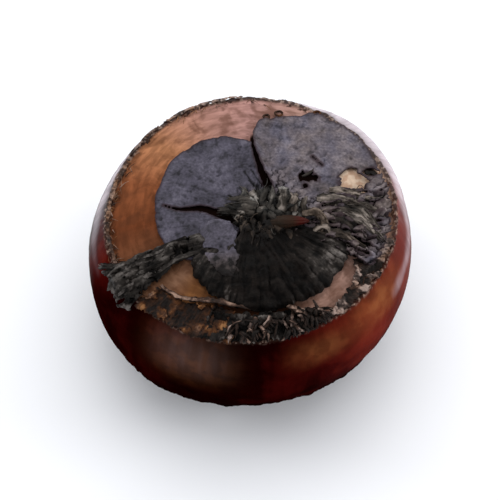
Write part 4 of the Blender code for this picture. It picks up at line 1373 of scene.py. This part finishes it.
def tuft_fibres(finish):
    """Fine fibres that lie about the tuft and over the flutes at the right."""
    bundle = Bundle(8)
    draw = bundle.draw
    for _ in range(55):
        turn = draw.uniform(0, 2 * math.pi)
        start = draw.uniform(0.2, 3.8)
        length = draw.uniform(0.6, 1.7)
        heading = turn + draw.uniform(-1.0, 1.0)
        height = draw.uniform(1.1, 2.2)
        x, y = TUFT_CENTRE[0] + start * math.cos(turn), TUFT_CENTRE[1] + start * math.sin(turn)
        stops = []
        for share in (0.0, 0.35, 0.7, 1.0):
            bent = heading + 0.6 * share
            stops.append((x + length * share * math.cos(bent), y + length * share * math.sin(bent),
                          height + draw.uniform(-0.2, 0.4) * share))
        bundle.fibre(stops, draw.uniform(0.03, 0.075), tint=draw.uniform(0.1, 0.7), hue=draw.uniform(0, 0.9))
    for _ in range(70):
        turn = math.radians(draw.uniform(-25, 16))
        start = draw.uniform(6.0, 12.5)
        length = draw.uniform(1.0, 3.0)
        stops = []
        for share in (0.0, 0.4, 0.75, 1.0):
            reach = min(start + length * share, 15.8)
            a = turn + draw.uniform(-0.03, 0.03)
            stops.append((reach * math.cos(a), reach * math.sin(a), 0.85 + draw.uniform(-0.1, 0.3)))
        bundle.fibre(stops, draw.uniform(0.03, 0.07), tint=draw.uniform(0.2, 1.0), hue=draw.uniform(0.3, 0.9))
    return bundle.piece("tuft_fibres", finish, ["tuft"])


# How seldom a fibre grows on the ring, by azimuth
BARE_RING = ((0, 20, 72, 90, 145, 165, 360), (0.5, 0.9, 0.9, 0.75, 0.7, 0.1, 0.1))
# x, y and reach of the small dark loops that lie on the pale band at the back
LOOPS = ((3.5, 14.6, 0.45), (2.0, 14.1, 0.35), (8.1, 14.7, 0.40))


def ring_fibres(finish):
    """The frayed fibres of the shoulder ring, short and pressed close to the skin, and the small loops."""
    bundle = Bundle(9)
    draw = bundle.draw
    for _ in range(620):
        at = draw.uniform(0, 360)
        if draw.rand() < np.interp(at, *BARE_RING):
            continue
        start = SHOULDER_DISTANCE + draw.uniform(-0.9, 0.15)
        outward = 1 if draw.rand() < 0.5 else -1
        length = draw.uniform(0.2, 0.4) if outward > 0 else draw.uniform(0.25, 0.9)
        slant = draw.uniform(-5, 5)
        stops = []
        for i, share in enumerate((0.0, 0.5, 1.0)):
            reach = start + outward * length * share
            turn = math.radians(at + slant * share)
            lift = (0.06, 0.22, 0.10)[i] + draw.uniform(-0.05, 0.08)
            stops.append((reach * math.cos(turn), reach * math.sin(turn), lift))
        tint = draw.uniform(0.05, 0.5) if 210 < at < 340 else draw.uniform(0.2, 1.1)
        bundle.fibre(stops, draw.uniform(0.03, 0.08), tint=tint, hue=draw.uniform(0.3, 1), sides=4, steps=5)
    for x, y, reach in LOOPS:
        stops = [(x + reach * math.cos(turn), y + 0.8 * reach * math.sin(turn), 0.2)
                 for turn in np.linspace(0.2, 6.4, 9)]
        bundle.fibre(stops, 0.15, tint=0.35, hue=1.0, steps=20, tip=0.8)
    return bundle.piece("ring_fibres", finish, ["ring_scale_left", "ring_scale_back"])


SHOOT_ROUTE = ((2.2, -1.6, 1.4), (3.6, -1.8, 2.1), (5.1, -1.8, 2.4), (6.7, -1.7, 2.2))
SHOOT_RADIUS = 0.78
SHOOT_RINGS = 60
SHOOT_SIDES = 40


def shoot_finish():
    """Dull red shoot, darker at its root, with fine lines along it."""
    f = Finish("shoot_skin", specular=0.05)
    lines = f.noise(1.0, detail=4.0, low=0.3, high=0.7, grain=(3.5, 0.4, 1.0))
    colour = f.ramp(f.attribute("tint"), [
        (0.0, (0.006, 0.0045, 0.003)),
        (0.35, (0.014, 0.010, 0.007)),
        (0.62, (0.022, 0.009, 0.005)),
        (0.78, (0.042, 0.0026, 0.0022)),
        (1.0, (0.022, 0.001, 0.001)),
    ])
    colour = f.mix(f.math("MULTIPLY", lines, 0.25), colour, (0.07, 0.035, 0.022))
    return f.finished(colour, 0.38, f.bump(lines, 0.05))


def shoot_tip(finish):
    """The shoot's tip, a slim curved cone of overlapping sheaths."""
    centre = place_xy(*smooth_route(SHOOT_ROUTE, SHOOT_RINGS).T)
    turn = np.linspace(0, 2 * np.pi, SHOOT_SIDES, endpoint=False)
    share = np.linspace(0, 1, SHOOT_RINGS)[:, None]
    radius = SHOOT_RADIUS * np.sqrt(np.maximum(1 - share**2.2, 0.0)) * (0.75 + 0.25 * np.sin(share * 3.0))
    sheath = 0.07 * (((share * 3.1 + 0.10 * np.cos(turn)[None, :]) % 1.0) < 0.9)
    lines = 0.05 * np.cos(turn * 9)[None, :] * (1 - share)
    radius = radius + 0.01 + (sheath + lines) * (1 - share)
    points = np.vstack([tube(centre, (0, 0, 1.0), radius, turn), centre[:1], centre[-1:]])
    faces = grid_faces(SHOOT_RINGS, SHOOT_SIDES, closed=True)
    root, tip = len(points) - 2, len(points) - 1
    last_ring = (SHOOT_RINGS - 1) * SHOOT_SIDES
    faces += [[root, (i + 1) % SHOOT_SIDES, i] for i in range(SHOOT_SIDES)]
    faces += [[tip, last_ring + i, last_ring + (i + 1) % SHOOT_SIDES] for i in range(SHOOT_SIDES)]
    tint = np.append(np.repeat(share.ravel(), SHOOT_SIDES), [0.0, 1.0])
    grain = rows_of(np.append(np.tile(turn, SHOOT_RINGS), [0, 0]) * 0.7, tint * 5)
    return add_piece("shoot_tip", points, faces, finish, ["shoot"], {"grain": grain, "tint": tint})


# Stage, in metres

CAMERA_ELEVATION = 59.0
# The camera's distance from its target, and the width that it sees there
CAMERA_DISTANCE = 0.45
FRAME_WIDTH = 0.0591
CAMERA_TARGET = (0.0, -0.0006, 0.0135)
SENSOR_WIDTH = 36.0
FLOOR_HALF_WIDTH = 3.0
FLOOR_COLOUR = (0.86, 0.87, 0.90, 1.0)
SURROUND = 0.74
SURROUND_COLOUR = (0.97, 0.98, 1.0, 1.0)
LIGHTS_TARGET = (0, 0, 0.015)
# Name, place, width and height, and power of each light
LIGHTS = (
    ("back_softbox", (0.04, 0.26, 0.42), (0.80, 0.80), 2.3),
    ("left_strip", (-0.36, 0.12, 0.12), (0.16, 0.02), 0.45),
    ("right_strip", (0.37, 0.02, 0.10), (0.16, 0.02), 0.60),
)


def stage():
    """A pale floor, a white surround, a soft box and two soft strips of light, and the camera."""
    bm = bmesh.new()
    bmesh.ops.create_grid(bm, x_segments=1, y_segments=1, size=FLOOR_HALF_WIDTH)
    mesh = bpy.data.meshes.new("floor")
    bm.to_mesh(mesh)
    bm.free()
    floor = linked("floor", mesh)
    paint = bpy.data.materials.new("floor_paint")
    paint.use_nodes = True
    shader = paint.node_tree.nodes["Principled BSDF"]
    shader.inputs["Base Color"].default_value = FLOOR_COLOUR
    shader.inputs["Roughness"].default_value = 0.35
    mesh.materials.append(paint)

    world = bpy.data.worlds.new("surround")
    bpy.context.scene.world = world
    world.use_nodes = True
    world.node_tree.nodes["Background"].inputs["Color"].default_value = SURROUND_COLOUR
    world.node_tree.nodes["Background"].inputs["Strength"].default_value = SURROUND
    for name, spot, size, power in LIGHTS:
        data = bpy.data.lights.new(name, "AREA")
        data.shape = "RECTANGLE"
        data.size, data.size_y = size
        data.energy = power
        light = linked(name, data)
        light.location = spot
        aim = Vector(LIGHTS_TARGET) - Vector(spot)
        light.rotation_euler = aim.to_track_quat("-Z", "Y").to_euler()

    elevation = math.radians(CAMERA_ELEVATION)
    away = Vector((0.0, -math.cos(elevation), math.sin(elevation)))
    data = bpy.data.cameras.new("camera")
    data.sensor_width = SENSOR_WIDTH
    data.lens = SENSOR_WIDTH * CAMERA_DISTANCE / FRAME_WIDTH
    data.clip_end = 10.0
    camera = linked("camera", data)
    camera.location = Vector(CAMERA_TARGET) + away * CAMERA_DISTANCE
    camera.rotation_euler = (-away).to_track_quat("-Z", "Y").to_euler()
    bpy.context.scene.camera = camera
    bpy.context.scene.view_settings.view_transform = "Standard"


def main():
    grey = paper_finish(
        "outer_scale_paper",
        ((0.004, 0.0036, 0.005), (0.070, 0.064, 0.087), (0.155, 0.142, 0.175)),
        ((0.006, 0.004, 0.0035), (0.105, 0.080, 0.072), (0.24, 0.19, 0.17)),
        weights=(0.20, 0.24, 0.07), base=0.245, specular=0.15, rim=(0.022, 0.011, 0.014))
    black = paper_finish(
        "inner_scale_paper",
        ((0.0012, 0.0007, 0.0005), (0.0075, 0.0049, 0.0038), (0.13, 0.112, 0.103)),
        ((0.0030, 0.0024, 0.0021), (0.030, 0.0255, 0.0225), (0.135, 0.120, 0.110)),
        weights=(0.38, 0.20, 0.20), base=0.08, roughness=(0.45, 0.70), depth=0.06, specular=0.06)
    brown = paper_finish(
        "ring_scale_paper",
        ((0.005, 0.003, 0.002), (0.045, 0.030, 0.025), (0.30, 0.22, 0.19)),
        ((0.004, 0.0016, 0.0008), (0.062, 0.021, 0.006), (0.28, 0.13, 0.050)),
        weights=(0.50, 0.25, 0.25), roughness=(0.5, 0.8), depth=0.07, specular=0.12)
    fibre = paper_finish(
        "tuft_fibre",
        ((0.0035, 0.0032, 0.0027), (0.060, 0.057, 0.051), (0.25, 0.238, 0.225)),
        ((0.003, 0.002, 0.0015), (0.045, 0.030, 0.021), (0.22, 0.165, 0.13)),
        weights=(0.28, 0.16, 0.26), base=0.16, grain=(2.6, 0.30), roughness=(0.5, 0.75), depth=0.05,
        specular=0.12)
    corm(corm_finish())
    left_disc(grey)
    scale_tongue(grey)
    right_lobe(grey)
    inner_lobe(black)
    flap_folds(black)
    flap_shreds(black)
    front_rim(brown)
    ring_sheet(
        "ring_scrap_front_left", (221, 264), ((221, 0.82), (238, 0.79), (250, 0.73), (264, 0.75)), 1.01,
        0.24, 0.22, brown, ["ring_scale_front_left"], 110, tint=0.62, hue=1.0, holes=0.22, bright=0.22)
    ring_sheet(
        "ring_scrap_front", (250, 303), ((250, 0.78), (275, 0.775), (290, 0.80), (303, 0.88)), 1.0,
        0.36, 0.38, black, ["ring_scale_front"], 130, tint=0.62, holes=0.2)
    front_fringe(brown)
    ring_sheet(
        "ring_scrap_right", (297, 350), ((297, 0.955), (309, 0.93), (324, 0.87), (335, 0.80), (350, 0.84)),
        0.985, 0.24, 0.14, brown, ["ring_scale_right"], 150, tint=0.88, hue=0.05, holes=0.25)
    ring_sheet(
        "ring_scrap_left", (150, 203), ((150, 0.970), (203, 0.970)), 0.988,
        0.06, 0.04, brown, ["ring_scale_left"], 170, tint=0.8, torn=0.2, holes=0.55, bright=0.5)
    ring_sheet(
        "ring_scrap_back", (92, 150), ((92, 0.988), (150, 0.988)), 1.0,
        0.04, 0.03, brown, ["ring_scale_back"], 190, tint=0.9, torn=0.2, hue=0.15, holes=0.5, bright=0.6)
    tuft_core(fibre)
    tuft_leaves(fibre)
    tuft_fibres(fibre)
    ring_fibres(brown)
    shoot_tip(shoot_finish())
    stage()


main()
